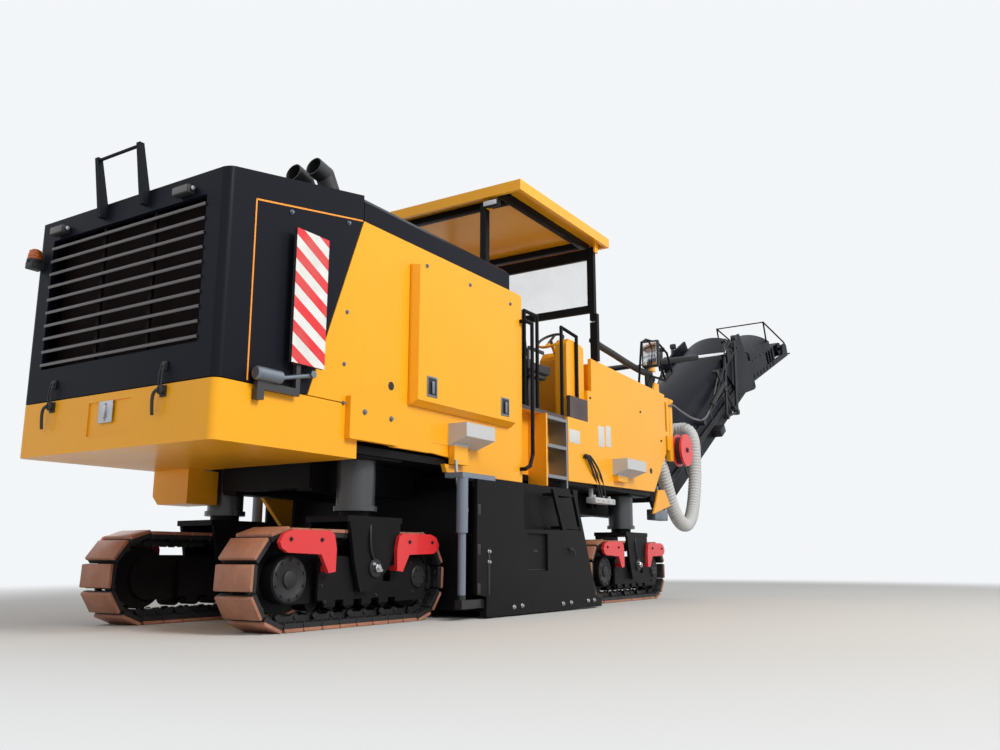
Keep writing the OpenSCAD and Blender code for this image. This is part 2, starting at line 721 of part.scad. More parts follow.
front_post_x = canopy_x1 - 190;
front_post_y = 1015;
rear_post_x = canopy_x0 + 90;
rear_post_y = 670;
post_pin_d = 30;
roof_pin_z = canopy_z - canopy_lip - 60;

// Bore across a post for a pin of the canopy's linkage
module pin_bore(x, y, z) {
    translate([x, y, z]) rotate([90, 0, 0]) cylinder(d = post_pin_d + 2 * fit, h = 200, center = true, $fn = 24);
}

module canopy_frame() color(dark) placed() difference() {
    union() {
        both_sides() box(front_post_x - 30, front_post_x + 30, -front_post_y - 30, -front_post_y + 30,
            canopy_pivot_z - 40, roof_pin_z + 30);
        difference() {
            box(front_post_x - 20, front_post_x + 20, -front_post_y + 29, front_post_y - 29, canopy_pivot_z + 60,
                roof_pin_z + 20);
            box(front_post_x - 21, front_post_x + 21, -front_post_y + 60, front_post_y - 60, canopy_pivot_z + 150,
                roof_pin_z - 110);
        }
    }
    both_sides() for (z = [canopy_pivot_z, roof_pin_z]) pin_bore(front_post_x, -front_post_y, z);
}

module windscreen() color("lightblue", 0.4) placed()
    box(front_post_x - 4, front_post_x + 4, -front_post_y + 60 + fit, front_post_y - 60 - fit,
        canopy_pivot_z + 150 + fit, roof_pin_z - 110 - fit);

module canopy_roof() color(yellow) placed() {
    difference() {
        box(canopy_x0, canopy_x1, -canopy_w / 2, canopy_w / 2, canopy_z - canopy_lip, canopy_z);
        box(canopy_x0 + 40, canopy_x1 - 40, -canopy_w / 2 + 40, canopy_w / 2 - 40, canopy_z - canopy_lip - 1,
            canopy_z - 40);
    }
    // lugs and pins beside the posts
    both_sides() for (p = [[front_post_x, front_post_y, 30], [rear_post_x, rear_post_y, 35]]) {
        box(p[0] - 40, p[0] + 40, -p[1] - p[2] - 30, -p[1] - p[2] - 10, roof_pin_z - 40, canopy_z - 39);
        translate([p[0], -p[1] - p[2] - 20, roof_pin_z]) rotate([-90, 0, 0])
            cylinder(d = post_pin_d, h = 2 * p[2] + 15, $fn = 24);
    }
}

module canopy_posts() color(dark) placed() both_sides() difference() {
    box(rear_post_x - 35, rear_post_x + 35, -rear_post_y - 35, -rear_post_y + 35, canopy_pivot_z - 40, roof_pin_z + 30);
    for (z = [canopy_pivot_z, roof_pin_z]) pin_bore(rear_post_x, -rear_post_y, z);
}

// Front rail and mirror guard on the machine's nose

module front_rails() color(dark) placed() both_sides() {
    tube([[6850, -950, nose_top(6850) + 12], [6850, -950, 2720], [6850, -1000, 3230], [7000, -1000, 3300], [7420, -1000, 3340],
        [7720, -1000, 3260], [7900, -1000, 3020], [7640, -1000, 2860], [7250, -960, 2860],
        [7120, -950, 2740], [7120, -950, nose_top(7120) + 12]], 30);
    tube([[7420, -1000, 3340], [7450, -1000, 3100], [7640, -1000, 2860]], 28);
    // lower stubs that carry the canopy's front frame
    box(front_post_x - 30, front_post_x + 30, -half_w, -front_post_y + 30, front_top_z + 20, canopy_pivot_z - 60);
    box(front_post_x - 30, front_post_x + 30, -half_w - 25, -half_w + 1, front_top_z + 20, canopy_pivot_z + 40);
    translate([front_post_x, -half_w - 5, canopy_pivot_z]) rotate([-90, 0, 0]) cylinder(d = post_pin_d, h = 70, $fn = 24);
}

module lamps() color(grey) placed() {
    for (y = [-655, 740]) box(-70, 0, y - 80, y + 80, 2868, 2932);
    translate([beacon_x, beacon_y, 2690]) cylinder(d = beacon_d, h = 105, $fn = 32);
    box(beacon_x - 45, 0, beacon_y - 45, beacon_y + 45, 2635, 2691);
}

module lamp_boxes() color("lightgrey") placed() both_sides() {
    for (k = [[2500, 443], [5770, 540]])
        along(k[0], k[0] + k[1]) polygon([[-half_w, 1430], [-half_w, 1620], [-half_w - 190, 1620],
            [-half_w - 190, 1500]]);
    // sockets below the lamps
    box(2510, 2715, -half_w - 60, -half_w, 1275, 1450);
    box(5790, 6060, -half_w - 60, -half_w, 1365, 1450);
}

module warning_boards() color("white") placed() both_sides() {
    box(565, 885, -half_w - 75, -half_w - 50, 1790, 2745);
    // arm from the skirt
    box(300, 360, -half_w - 51, -half_w, 1500, 1570);
    box(300, 680, -half_w - 51, -half_w - 16, 1570, 1620);
    box(640, 680, -half_w - 51, -half_w - 16, 1619, 2600);
}

reel_at = [7900, -1100, 1930];

module reel() color(red) placed() {
    translate(reel_at) rotate([90, 0, 0]) {
        for (z = [-70, 40]) translate([0, 0, z]) cylinder(d = 430, h = 30, $fn = 48);
        cylinder(d = 180, h = 120, center = true, $fn = 48);
    }
    // arm from the nose post
    box(front_x1 + 150, reel_at[0] + 40, -half_w, -half_w + 20, reel_at[2] - 30, reel_at[2] + 30);
}

// Dust hose from the nose down and up to a collar on the conveyor
hose_d = 190;
hose_sides = 12;
hose_end_u = 1000;
hose_end_v = 500;
hose_route = [[nose_x, -860, 1960], [7450, -860, 1960], [7540, -866, 1895], [7620, -880, 1770], [7700, -890, 1620],
    [7790, -900, 1445], [7890, -905, 1270], [8010, -910, 1120], [8150, -915, 1010], [8310, -915, 955],
    [8470, -915, 965], [8610, -915, 1050], [8720, -912, 1190], [8805, -910, 1380], [8870, -908, 1590],
    [8910, -903, 1800], [8930, -898, 2000], [8940, -892, 2120], [8950, -872, 2230], [8958, -830, 2318],
    [8964, -770, 2368], [8968, -710, 2384], [8971, -650, 2384], [8974, -585, 2384]];

function unit(v) = v / norm(v);
function heading(path, i) = unit(path[min(i + 1, len(path) - 1)] - path[max(i - 1, 0)]);
function square_to(v, t) = unit(v - (v * t) * t);
// Side vector of ring i, carried along the path without twist
function side_at(path, i) = square_to(i == 0 ? [0, 1, 0] : side_at(path, i - 1), heading(path, i));

module swept(path, d, n) {
    last = len(path) - 1;
    points = [for (i = [0 : last]) let (t = heading(path, i), a = side_at(path, i), b = cross(t, a))
        for (k = [0 : n - 1]) path[i] + d / 2 * (cos(360 * k / n) * a + sin(360 * k / n) * b)];
    walls = [for (i = [0 : last - 1], k = [0 : n - 1]) let (m = (k + 1) % n)
        each [[i * n + k, (i + 1) * n + k, (i + 1) * n + m], [i * n + k, (i + 1) * n + m, i * n + m]]];
    polyhedron(points, concat(walls, [[for (k = [0 : n - 1]) k], [for (k = [n - 1 : -1 : 0]) last * n + k]]));
}

module dust_hose() color("white") placed() swept(hose_route, hose_d, hose_sides);

// Discharge conveyor

module at_slew() placed() translate([slew_x, 0, 0]) rotate([0, 0, -slew_a]) children();

cheek_y = conv_w / 2 + 12;
cheek_t = 30;
mast_z = 3320;
luff_pin_d = 50;
luff_y = cheek_y + cheek_t + 50;

module slew_frame() color(dark) at_slew() {
    for (z = [lug_z0 + lug_t + 2, lug_z1 - 62]) hull() {
        translate([0, 0, z]) cylinder(d = 240, h = 60, $fn = 32);
        box(150, 160, -cheek_y - 1, cheek_y + 1, z, z + 60);
    }
    translate([0, 0, lug_z0 - 20]) cylinder(d = slew_pin_d, h = lug_t + 40, $fn = 48);
    translate([0, 0, lug_z1 - 20]) cylinder(d = slew_pin_d, h = lug_t + 40, $fn = 48);
    both_sides() {
        difference() {
            across(-cheek_y - cheek_t, -cheek_y)
                polygon([[100, lug_z0 + 100], [100, mast_z - 100], [150, mast_z], [290, mast_z], [360, 2600], [560, 1600],
                    [560, 1300], [420, lug_z0 + 100]]);
            translate([hinge_s, -cheek_y, hinge_z]) rotate([90, 0, 0])
                cylinder(d = hinge_pin_d + 6, h = 200, center = true, $fn = 32);
        }
        translate([luff_base[0], -cheek_y - 1, luff_base[1]]) rotate([90, 0, 0])
            cylinder(d = luff_pin_d, h = luff_y - cheek_y + 36, $fn = 32);
    }
}

module at_lower() at_slew() translate([hinge_s, 0, hinge_z]) rotate([0, -rise_a, 0]) children();

hinge_pin_d = 84;
pulley_w = 760;
belt_t = 15;

// A pulley with its shaft between the side frames
module pulley(u, v, r) {
    translate([u, 0, v]) rotate([90, 0, 0]) {
        cylinder(r = r - 0.8, h = pulley_w - 10, center = true, $fn = 64);
        cylinder(d = 60, h = conv_w - 60, center = true, $fn = 24);
    }
}

module lower_section() color(black) at_lower() {
    // side frames
    both_sides() across(-conv_w / 2, -conv_w / 2 + 40)
        polygon([[-250, -120], [-150, -300], [200, -360], [lower_l - 60, -330], [lower_l - 60, 120], [300, 160],
            [-250, 100]]);
    // rounded cover over the belt
    along(700, lower_l - 200) difference() {
        intersection() {
            translate([0, -40]) circle(r = 760, $fn = 64);
            translate([-conv_w / 2, 100]) square([conv_w, 800]);
        }
        intersection() {
            translate([0, -40]) circle(r = 740, $fn = 64);
            translate([-conv_w / 2 + 20, 0]) square([conv_w - 40, 880]);
        }
    }
    // pivot pins, cross tubes and the fold hinge's lugs
    both_sides() translate([0, -conv_w / 2 + 20, 0]) rotate([90, 0, 0])
        cylinder(d = hinge_pin_d, h = cheek_y - conv_w / 2 + cheek_t + 30, $fn = 32);
    pulley(0, 0, 115);
    pulley(lower_l - 160, 0, 85);
    // collar of the dust hose
    translate([hose_end_u, -conv_w / 2 + 1, hose_end_v]) rotate([90, 0, 0]) difference() {
        cylinder(d = hose_d + 30, h = 31, $fn = 48);
        translate([0, 0, 11]) cylinder(d = hose_d - 20, h = 31, $fn = 48);
    }
    // forks in which the luff rods' eyes stand
    both_sides() translate([luff_eye_u, 0, luff_eye_v]) {
        across(-luff_y + 35, -conv_w / 2 - 39) fork_outline();
        across(-luff_y - 50, -luff_y - 35) fork_outline();
        box(-120, 120, -luff_y - 50, -conv_w / 2 - 39, -130, -100);
    }
    for (u = [900, 2600, lower_l - 450]) translate([u, 0, -250]) rotate([90, 0, 0])
        cylinder(d = 80, h = conv_w - 60, center = true, $fn = 24);
    both_sides() difference() {
        translate([lower_l, 0, 0]) across(-conv_w / 2 - 40, -conv_w / 2) polygon([[-850, -200], [-1250, 450],
            [-1250, 640], [-1000, 690], [-640, 720], [-130, 700], [60, -300], [40, -430], [-60, -430]]);
        translate([lower_l, 0, fold_v]) rotate([90, 0, 0])
            cylinder(d = fold_pin_d + 2 * fit, h = 1400, center = true, $fn = 32);
    }
}

module fork_outline() polygon([[-120, -130], [120, -130], [70, 60], [-70, 60]]);

module lower_belt() color("#151515") at_lower() across(-380, 380) difference() {
    hull() {
        translate([0, 0]) circle(r = 130, $fn = 64);
        translate([lower_l - 160, 0]) circle(r = 100, $fn = 64);
    }
    hull() {
        translate([0, 0]) circle(r = 115, $fn = 64);
        translate([lower_l - 160, 0]) circle(r = 85, $fn = 64);
    }
}

fold_pin_d = 60;
upper_half = conv_w / 2 - 10;

module at_fold() at_lower() translate([lower_l, 0, fold_v]) rotate([0, fold_a, 0]) children();

truss_n = 3;
truss_pitch = 165;
head_u = upper_l - 880;

module upper_section() color(black) at_fold() {
    both_sides() across(-upper_half, -upper_half + 40) difference() {
        polygon([[90, 30], [0, -50], [-50, 0], [-20, 430], [head_u, 430], [head_u, 150], [upper_l - 330, 150],
            [upper_l - 260, 330], [upper_l - 60, 330], [upper_l, 270], [upper_l, 60]]);
        // open panels between the ribs
        for (i = [0 : truss_n - 1]) translate([head_u - 40 - (i + 1) * truss_pitch, 150])
            square([truss_pitch - 40, 240]);
    }
    rotate([90, 0, 0]) cylinder(d = fold_pin_d, h = conv_w + 90, center = true, $fn = 32);
    along(160, head_u - 180) difference() {
        intersection() {
            translate([0, 30]) circle(r = 720, $fn = 64);
            translate([-upper_half, 420]) square([2 * upper_half, 800]);
        }
        intersection() {
            translate([0, 30]) circle(r = 700, $fn = 64);
            translate([-upper_half + 20, 300]) square([2 * upper_half - 40, 880]);
        }
    }
    // head guard
    both_sides() tube([[head_u - 300, -upper_half + 16, 425], [head_u - 270, -upper_half + 16, 960],
        [upper_l - 60, -upper_half + 16, 340], [upper_l - 80, -upper_half + 16, 120]], guard_d);
    bar([head_u - 270, -upper_half + 16, 960], [head_u - 270, upper_half - 16, 960], guard_d - 6);
    bar([tip_u, -conv_w / 2, tip_v], [tip_u, conv_w / 2, tip_v], guard_d);
    both_sides() bar([upper_l - 80, -upper_half + 16, tip_v + 10], [tip_u, -upper_half + 16, tip_v], guard_d - 4);
    for (u = [600, 1500]) translate([u, 0, 90]) rotate([90, 0, 0])
        cylinder(d = 60, h = conv_w - 60, center = true, $fn = 24);
    pulley_at_head();
}

module pulley_at_head() {
    pulley(160, 330, 65);
    pulley(upper_l - 150, 240, 115);
}

module upper_belt() color("#151515") at_fold() across(-380, 380) difference() {
    hull() {
        translate([160, 330]) circle(r = 80, $fn = 64);
        translate([upper_l - 150, 240]) circle(r = 130, $fn = 64);
    }
    hull() {
        translate([160, 330]) circle(r = 65, $fn = 64);
        translate([upper_l - 150, 240]) circle(r = 115, $fn = 64);
    }
}

// Luff cylinders from the slew frame's masts to the lower section

luff_base = [220, 3250];
luff_eye_u = lower_l - 1130;
luff_eye_v = 700;
luff_eye = [hinge_s + luff_eye_u * cos(rise_a) - luff_eye_v * sin(rise_a),
    hinge_z + luff_eye_u * sin(rise_a) + luff_eye_v * cos(rise_a)];
luff_span = luff_eye - luff_base;
luff_barrel_l = 1600;
luff_rod_d = 50;

// One cylinder lies along X from its base pin
module at_luff() at_slew() both_sides() translate([luff_base[0], -luff_y, luff_base[1]])
    rotate([0, -atan2(luff_span[1], luff_span[0]), 0]) children();

module luff_barrels() color(dark) at_luff() difference() {
    union() {
        translate([40, 0, 0]) rotate([0, 90, 0]) cylinder(d = 90, h = luff_barrel_l, $fn = 32);
        rotate([90, 0, 0]) cylinder(d = 120, h = 56, center = true, $fn = 32);
    }
    translate([200, 0, 0]) rotate([0, 90, 0]) cylinder(d = luff_rod_d + 2 * fit, h = luff_barrel_l, $fn = 32);
    rotate([90, 0, 0]) cylinder(d = luff_pin_d + 2 * fit, h = 100, center = true, $fn = 32);
}

module luff_rods() color(steel) at_luff() {
    union() {
        translate([900, 0, 0]) rotate([0, 90, 0]) cylinder(d = luff_rod_d, h = norm(luff_span) - 935, $fn = 32);
        translate([norm(luff_span), 0, 0]) rotate([90, 0, 0]) {
            cylinder(d = 110, h = 56, center = true, $fn = 32);
            cylinder(d = luff_pin_d, h = 68, center = true, $fn = 32);
        }
    }
}

chassis();
skirt();
side_panels();
top_hood();
front_body();
platform();
console();
seats();
handrails();
ladders();
engine_block();
cooler();
exhausts();
tank_boxes();
lift_columns();
drum_housing();
side_plates();
plate_cylinders();
front_rails();
lamps();
lamp_boxes();
warning_boards();
reel();
dust_hose();
rear_hood();
louvres();
hood_guard();
engine_door_right();
engine_door_left();
canopy_frame();
windscreen();
canopy_roof();
canopy_posts();
track_frame_rr();
track_frame_rl();
track_frame_fr();
track_frame_fl();
track_loop_rr();
track_loop_rl();
track_loop_fr();
track_loop_fl();
track_guards_rr();
track_guards_rl();
track_guards_fr();
track_guards_fl();
milling_drum();
slew_frame();
lower_section();
lower_belt();
upper_section();
upper_belt();
luff_barrels();
luff_rods();
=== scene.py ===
"""Cold planer milling machine: the looks around its packed construction."""

import json
import math

import bmesh
import bpy
from mathutils import Matrix, Vector


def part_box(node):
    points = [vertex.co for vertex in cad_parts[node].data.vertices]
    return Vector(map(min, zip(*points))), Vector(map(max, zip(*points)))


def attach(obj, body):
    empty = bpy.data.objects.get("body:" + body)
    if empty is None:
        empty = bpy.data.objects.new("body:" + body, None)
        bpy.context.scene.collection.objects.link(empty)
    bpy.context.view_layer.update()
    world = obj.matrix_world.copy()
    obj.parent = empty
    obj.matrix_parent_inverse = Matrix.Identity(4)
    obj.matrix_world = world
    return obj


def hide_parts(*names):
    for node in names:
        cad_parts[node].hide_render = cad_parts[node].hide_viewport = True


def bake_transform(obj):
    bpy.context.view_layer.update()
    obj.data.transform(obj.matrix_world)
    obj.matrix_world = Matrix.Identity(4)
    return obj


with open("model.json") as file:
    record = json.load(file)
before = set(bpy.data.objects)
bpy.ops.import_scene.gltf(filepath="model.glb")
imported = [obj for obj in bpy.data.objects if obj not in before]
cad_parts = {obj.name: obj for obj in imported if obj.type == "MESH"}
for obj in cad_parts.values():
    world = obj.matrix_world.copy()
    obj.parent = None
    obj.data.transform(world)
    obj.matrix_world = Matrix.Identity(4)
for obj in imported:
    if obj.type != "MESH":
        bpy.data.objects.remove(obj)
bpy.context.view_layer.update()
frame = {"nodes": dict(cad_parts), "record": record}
nodes = frame["nodes"]
scene = bpy.context.scene

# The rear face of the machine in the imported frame; the skirt ends there
rear_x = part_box("skirt")[0][0]
to_frame = Matrix.Translation((rear_x, 0.0, 0.0))
flip_y = Matrix.Scale(-1.0, 4, (0.0, 1.0, 0.0))

# Directions: out of the right side, out of the rear, and up
RIGHT, BACK, UP = (0, -1, 0), (-1, 0, 0), (0, 0, 1)
BOTH_SIDES = (("right", False), ("left", True))


def at(x, y, z):
    """A place given ahead of the rear face, as in the construction."""
    return Vector((x + rear_x, y, z))


# Camera, low and behind the right rear corner, fitted to the photograph

photo_w, photo_h = 1000.0, 750.0
sensor_w, lens = 36.0, 32.36
photo_focal = lens / sensor_w * photo_w
camera_ahead = (-3.696, -5.451, 0.488)
camera_heading, camera_pitch = math.radians(32.07), math.radians(11.57)
quarter = math.radians(90.0)

cam_data = bpy.data.cameras.new("camera")
cam_data.sensor_width, cam_data.lens, cam_data.clip_end = sensor_w, lens, 500.0
camera = bpy.data.objects.new("camera", cam_data)
scene.collection.objects.link(camera)
camera.location = at(*camera_ahead)
camera.rotation_euler = (quarter + camera_pitch, 0.0, camera_heading - quarter)
scene.camera = camera
camera_turn = camera.rotation_euler.to_matrix()
eye = Vector(camera_ahead)


def pixel_ray(px, py):
    """The direction from the camera through a point of the photograph."""
    return camera_turn @ Vector(((px - photo_w / 2) / photo_focal, (photo_h / 2 - py) / photo_focal, -1.0))


def spot(px, py, axis, value):
    """The place ahead of the rear face where a point of the photograph meets the plane axis = value."""
    ray = pixel_ray(px, py)
    i = "XYZ".index(axis)
    return eye + ray * ((value - eye[i]) / ray[i])


def spots(axis, value, *pixels):
    """The places of several points of the photograph on one plane."""
    return [spot(px, py, axis, value) for px, py in pixels]


# Shader and geometry nodes as Python values

def add_node(tree, kind, settings=None, sockets=None):
    """A new node: its settings first, then a value or a link for each socket named."""
    node = tree.nodes.new(kind)
    for key, value in (settings or {}).items():
        setattr(node, key, value)
    for key, value in (sockets or {}).items():
        if isinstance(value, Socket):
            value = value.out
        if isinstance(value, bpy.types.NodeSocket):
            tree.links.new(value, node.inputs[key])
        elif value is not None:
            node.inputs[key].default_value = value
    return node


class Socket:
    """One output of a node; operators add Math nodes."""

    def __init__(self, tree, out):
        self.tree, self.out = tree, out

    def math(self, operation, other=None, clamp=False):
        return self.placed(operation, self, other, clamp)

    def placed(self, operation, first, second, clamp=False):
        node = add_node(self.tree, "ShaderNodeMath", {"operation": operation, "use_clamp": clamp},
                        {0: first, 1: second})
        return Socket(self.tree, node.outputs[0])

    def __add__(self, other): return self.math("ADD", other)
    def __radd__(self, other): return self.math("ADD", other)
    def __sub__(self, other): return self.math("SUBTRACT", other)
    def __rsub__(self, other): return self.placed("SUBTRACT", other, self)
    def __mul__(self, other): return self.math("MULTIPLY", other)
    def __rmul__(self, other): return self.math("MULTIPLY", other)
    def __truediv__(self, other): return self.math("DIVIDE", other)
    def __gt__(self, other): return self.math("GREATER_THAN", other)
    def __lt__(self, other): return self.math("LESS_THAN", other)
    def abs(self): return self.math("ABSOLUTE")
    def fract(self): return self.math("FRACT")
    def cosine(self): return self.math("COSINE")
    def clamp(self): return self.math("ADD", 0.0, clamp=True)

    def ramp(self, low, high):
        """0 at low, 1 at high, straight between."""
        return ((self - low) * (1.0 / (high - low))).clamp()


def darker(colour, share):
    """A colour at some share of its brightness."""
    return tuple(c * share for c in colour)


class Finish:
    """A material under construction."""

    def __init__(self, name, gloss=0.5):
        self.mat = bpy.data.materials.new(name)
        self.mat.use_nodes = True
        self.tree = self.mat.node_tree
        self.tree.nodes.clear()
        self.output = self.tree.nodes.new("ShaderNodeOutputMaterial")
        self.shader = self.tree.nodes.new("ShaderNodeBsdfPrincipled")
        self.shader.inputs["Specular IOR Level"].default_value = gloss
        self.tree.links.new(self.shader.outputs[0], self.output.inputs[0])
        self.place = self.node("ShaderNodeTexCoord", out=3)

    def node(self, kind, settings=None, sockets=None, out=0):
        return Socket(self.tree, add_node(self.tree, kind, settings, sockets).outputs[out])

    def axis(self, name, of=None):
        return self.node("ShaderNodeSeparateXYZ", None, {0: of or self.place}, out="XYZ".index(name))

    def noise(self, scale, detail=3.0, rough=0.5, place=None):
        return self.node("ShaderNodeTexNoise", None, {"Vector": place or self.place, "Scale": scale,
                                                      "Detail": detail, "Roughness": rough})

    def stretched(self, scale):
        return self.node("ShaderNodeMapping", None, {"Vector": self.place, "Scale": scale})

    def mix(self, factor, a, b):
        """A colour between a and b."""
        return self.node("ShaderNodeMix", {"data_type": "RGBA"},
                         {0: factor, 6: a if isinstance(a, Socket) else (*a, 1.0),
                          7: b if isinstance(b, Socket) else (*b, 1.0)}, out=2)

    def set(self, name, value):
        if isinstance(value, Socket):
            self.tree.links.new(value.out, self.shader.inputs[name])
        else:
            self.shader.inputs[name].default_value = (*value, 1.0) if isinstance(value, tuple) else value

    def bump(self, height, strength, distance):
        self.set("Normal", self.node("ShaderNodeBump", None, {"Height": height, "Strength": strength,
                                                              "Distance": distance}))
        return self

    def close(self, colour, rough, grain, strength=0.12, distance=0.001):
        """Sets the colour and the roughness and adds an even grain."""
        self.set("Base Color", colour)
        self.set("Roughness", rough.clamp())
        return self.bump(self.noise(grain, 2.0, 0.5), strength, distance).mat


dust_colour = (0.30, 0.27, 0.23)
body_yellow = (0.90, 0.37, 0.010)
streak_depth = 0.075


def paint(name, colour, rough, coat, dust_amount, gloss=0.5):
    """Sprayed enamel: orange peel, a little road dust low down and on level faces, thin streaks."""
    f = Finish(name, gloss)
    cloud = f.noise(1.3, 5.0, 0.6)
    fine = f.noise(38.0, 3.0, 0.6)
    streak = f.noise(3.0, 4.0, 0.65, f.stretched((5.0, 5.0, 0.35)))
    low = 1.0 - f.axis("Z").ramp(0.15, 1.5)
    level = f.axis("Z", f.node("ShaderNodeNewGeometry", out=1)).ramp(0.6, 1.0)
    dust = (low * 0.6 + level * 0.3 + 0.05) * (cloud.ramp(0.35, 0.75) * 0.7 + fine.ramp(0.3, 0.8) * 0.3)
    dust = (dust * dust_amount).clamp()
    marks = streak.ramp(0.55, 0.8) * streak_depth
    base = f.mix(cloud.ramp(0.3, 0.7) * 0.35, colour, darker(colour, 0.9))
    base = f.mix(marks, base, darker(colour, 0.55))
    f.set("Base Color", f.mix(dust, base, dust_colour))
    f.set("Roughness", (dust * 0.45 + cloud.ramp(0.3, 0.7) * 0.08 + marks * 0.5 + rough).clamp())
    f.set("Coat Weight", (coat - dust * coat).clamp())
    f.shader.inputs["Coat Roughness"].default_value = 0.18
    return f.bump(f.noise(260.0, 2.0, 0.5) * 0.4 + cloud * 0.3, 0.12, 0.0015).mat


def metal(name, colour, rough, metallic=1.0, dirt=0.3):
    """Bare or plated metal with duller, dirtier patches."""
    f = Finish(name)
    fine = f.noise(90.0, 2.0, 0.6)
    dirty = f.noise(4.0, 5.0, 0.65).ramp(0.45, 0.75) * dirt
    f.set("Base Color", f.mix(dirty, colour, darker(colour, 0.35)))
    f.set("Metallic", (1.0 - dirty * 0.5) * metallic)
    f.set("Roughness", (fine * 0.15 + dirty * 0.5 + rough).clamp())
    return f.bump(fine, 0.15, 0.001).mat


def plastic(name, colour, rough, grain=320.0, gloss=0.5):
    """Moulded plastic, rubber or cloth, a little uneven in colour."""
    f = Finish(name, gloss)
    cloud = f.noise(3.0, 4.0, 0.6)
    return f.close(f.mix(cloud.ramp(0.3, 0.75) * 0.4, colour, darker(colour, 0.75)), cloud * 0.15 + rough,
                   grain, 0.2, 0.0008)


def pad_material():
    """Copper brown polyurethane pads, scuffed and dusty."""
    f = Finish("pad_polyurethane")
    cloud = f.noise(6.0, 5.0, 0.65)
    scuff = f.noise(28.0, 4.0, 0.7, f.stretched((1.0, 6.0, 1.0)))
    base = f.mix(cloud.ramp(0.3, 0.75), (0.44, 0.185, 0.105), (0.28, 0.115, 0.07))
    f.set("Base Color", f.mix(scuff.ramp(0.5, 0.8) * 0.5, base, (0.42, 0.30, 0.23)))
    f.set("Roughness", (cloud * 0.2 + 0.45).clamp())
    return f.bump(scuff * 0.6 + f.noise(120.0) * 0.4, 0.3, 0.002).mat


def glass_material():
    """A thin clear pane with faint smears."""
    f = Finish("glass")
    smear = f.noise(2.5, 4.0, 0.6).ramp(0.4, 0.8)
    f.set("Base Color", (0.75, 0.82, 0.85))
    f.set("Roughness", smear * 0.08 + 0.02)
    f.set("IOR", 1.45)
    f.set("Alpha", smear * 0.06 + 0.14)
    return f.mat


finishes = {"pad_polyurethane": pad_material(), "glass": glass_material()}

# Name, colour, roughness, coat, dust and gloss
for name, *values in (("yellow_paint", (0.92, 0.40, 0.010), 0.30, 0.2, 0.14, 0.25),
                      ("charcoal_paint", (0.0075, 0.0082, 0.0135), 0.42, 0.03, 0.03, 0.07),
                      ("frame_paint", (0.0070, 0.0068, 0.0078), 0.45, 0.03, 0.05, 0.07),
                      ("maroon_paint", (0.030, 0.010, 0.011), 0.5, 0.1, 0.15),
                      ("red_paint", (0.72, 0.018, 0.024), 0.35, 0.3, 0.12),
                      ("board_white", (0.78, 0.78, 0.76), 0.45, 0.1, 0.10),
                      ("orange_trim", (0.90, 0.30, 0.01), 0.4, 0.2, 0.1),
                      ("column_grey", (0.035, 0.038, 0.043), 0.35, 0.3, 0.08)):
    finishes[name] = paint(name, *values)

# Name, colour, roughness, metallic and dirt
for name, *values in (("cast_grey", (0.05, 0.05, 0.053), 0.42, 0.7),
                      ("bright_steel", (0.45, 0.46, 0.48), 0.32, 0.95),
                      ("chrome_rod", (0.75, 0.76, 0.78), 0.08, 1.0, 0.1),
                      ("dark_steel", (0.035, 0.035, 0.038), 0.42, 0.7),
                      ("cylinder_grey", (0.20, 0.23, 0.27), 0.32, 0.9),
                      ("mirror_glass", (0.7, 0.72, 0.75), 0.05, 1.0, 0.05)):
    finishes[name] = metal(name, *values)

# Name, colour, roughness, grain and gloss
for name, *values in (("belt_rubber", (0.014, 0.014, 0.015), 0.75, 60.0),
                      ("seat_fabric", (0.018, 0.018, 0.02), 0.6, 500.0),
                      ("lamp_plastic", (0.50, 0.51, 0.52), 0.4),
                      ("hose_white", (0.55, 0.56, 0.56), 0.5, 90.0),
                      ("dark_plastic", (0.02, 0.02, 0.022), 0.5),
                      ("amber_lens", (0.50, 0.10, 0.006), 0.12, 40.0),
                      ("clear_lens", (0.60, 0.62, 0.64), 0.12, 60.0),
                      ("black_rubber", (0.012, 0.012, 0.013), 0.55, 200.0),
                      ("louvre_black", (0.010, 0.004, 0.004), 0.6, 90.0, 0.15),
                      # Next grey: own colour of lamp lenses and cables, and also the painted highlight
                      # strips on the louvre blade edges
                      ("lip_grey", (0.12, 0.11, 0.11), 0.45, 90.0),
                      ("plain_plate", (0.62, 0.62, 0.60), 0.35, 80.0)):
    finishes[name] = plastic(name, *values)


def hazard_material():
    """Red and white diagonal bands on the board, plain dark paint on its arm."""
    board_x, board_z, band_pitch, slope = 0.565 + rear_x, 1.79, 0.174, 0.58
    f = Finish("hazard_board")
    across = f.axis("X") - board_x
    z = f.axis("Z")
    band = ((across * slope + z) / band_pitch).fract() > 0.5
    on_board = (across > 0.0005) * (z > board_z)
    cloud = f.noise(5.0, 4.0, 0.6)
    colour = f.mix(band, (0.74, 0.74, 0.72), (0.70, 0.020, 0.026))
    colour = f.mix(cloud.ramp(0.4, 0.8) * 0.3, colour, dust_colour)
    return f.close(f.mix(on_board, (0.03, 0.03, 0.032), colour), cloud * 0.2 + 0.3, 180.0, 0.1)


def platform_material():
    """Maroon steel; the wall of the ladder bay below the floor is yellow like the body."""
    f = Finish("platform_paint")
    x, y, z = (f.axis(name) for name in "XYZ")
    bay = (x > 3.735 + rear_x) * (x < 4.665 + rear_x) * (z < 1.941) * (y.abs() > 0.70)
    cloud = f.noise(1.6, 4.0, 0.6)
    colour = f.mix(bay, (0.030, 0.010, 0.011), body_yellow)
    return f.close(f.mix(cloud.ramp(0.35, 0.8) * 0.25, colour, dust_colour), cloud * 0.2 + 0.32, 260.0)


def two_zones(name, limit, below, above):
    """One colour below a height and another above it."""
    f = Finish(name)
    low = f.axis("Z") < limit
    return f.close(f.mix(low, above, below), f.noise(5.0, 4.0, 0.6) * 0.2 + 0.30, 220.0)


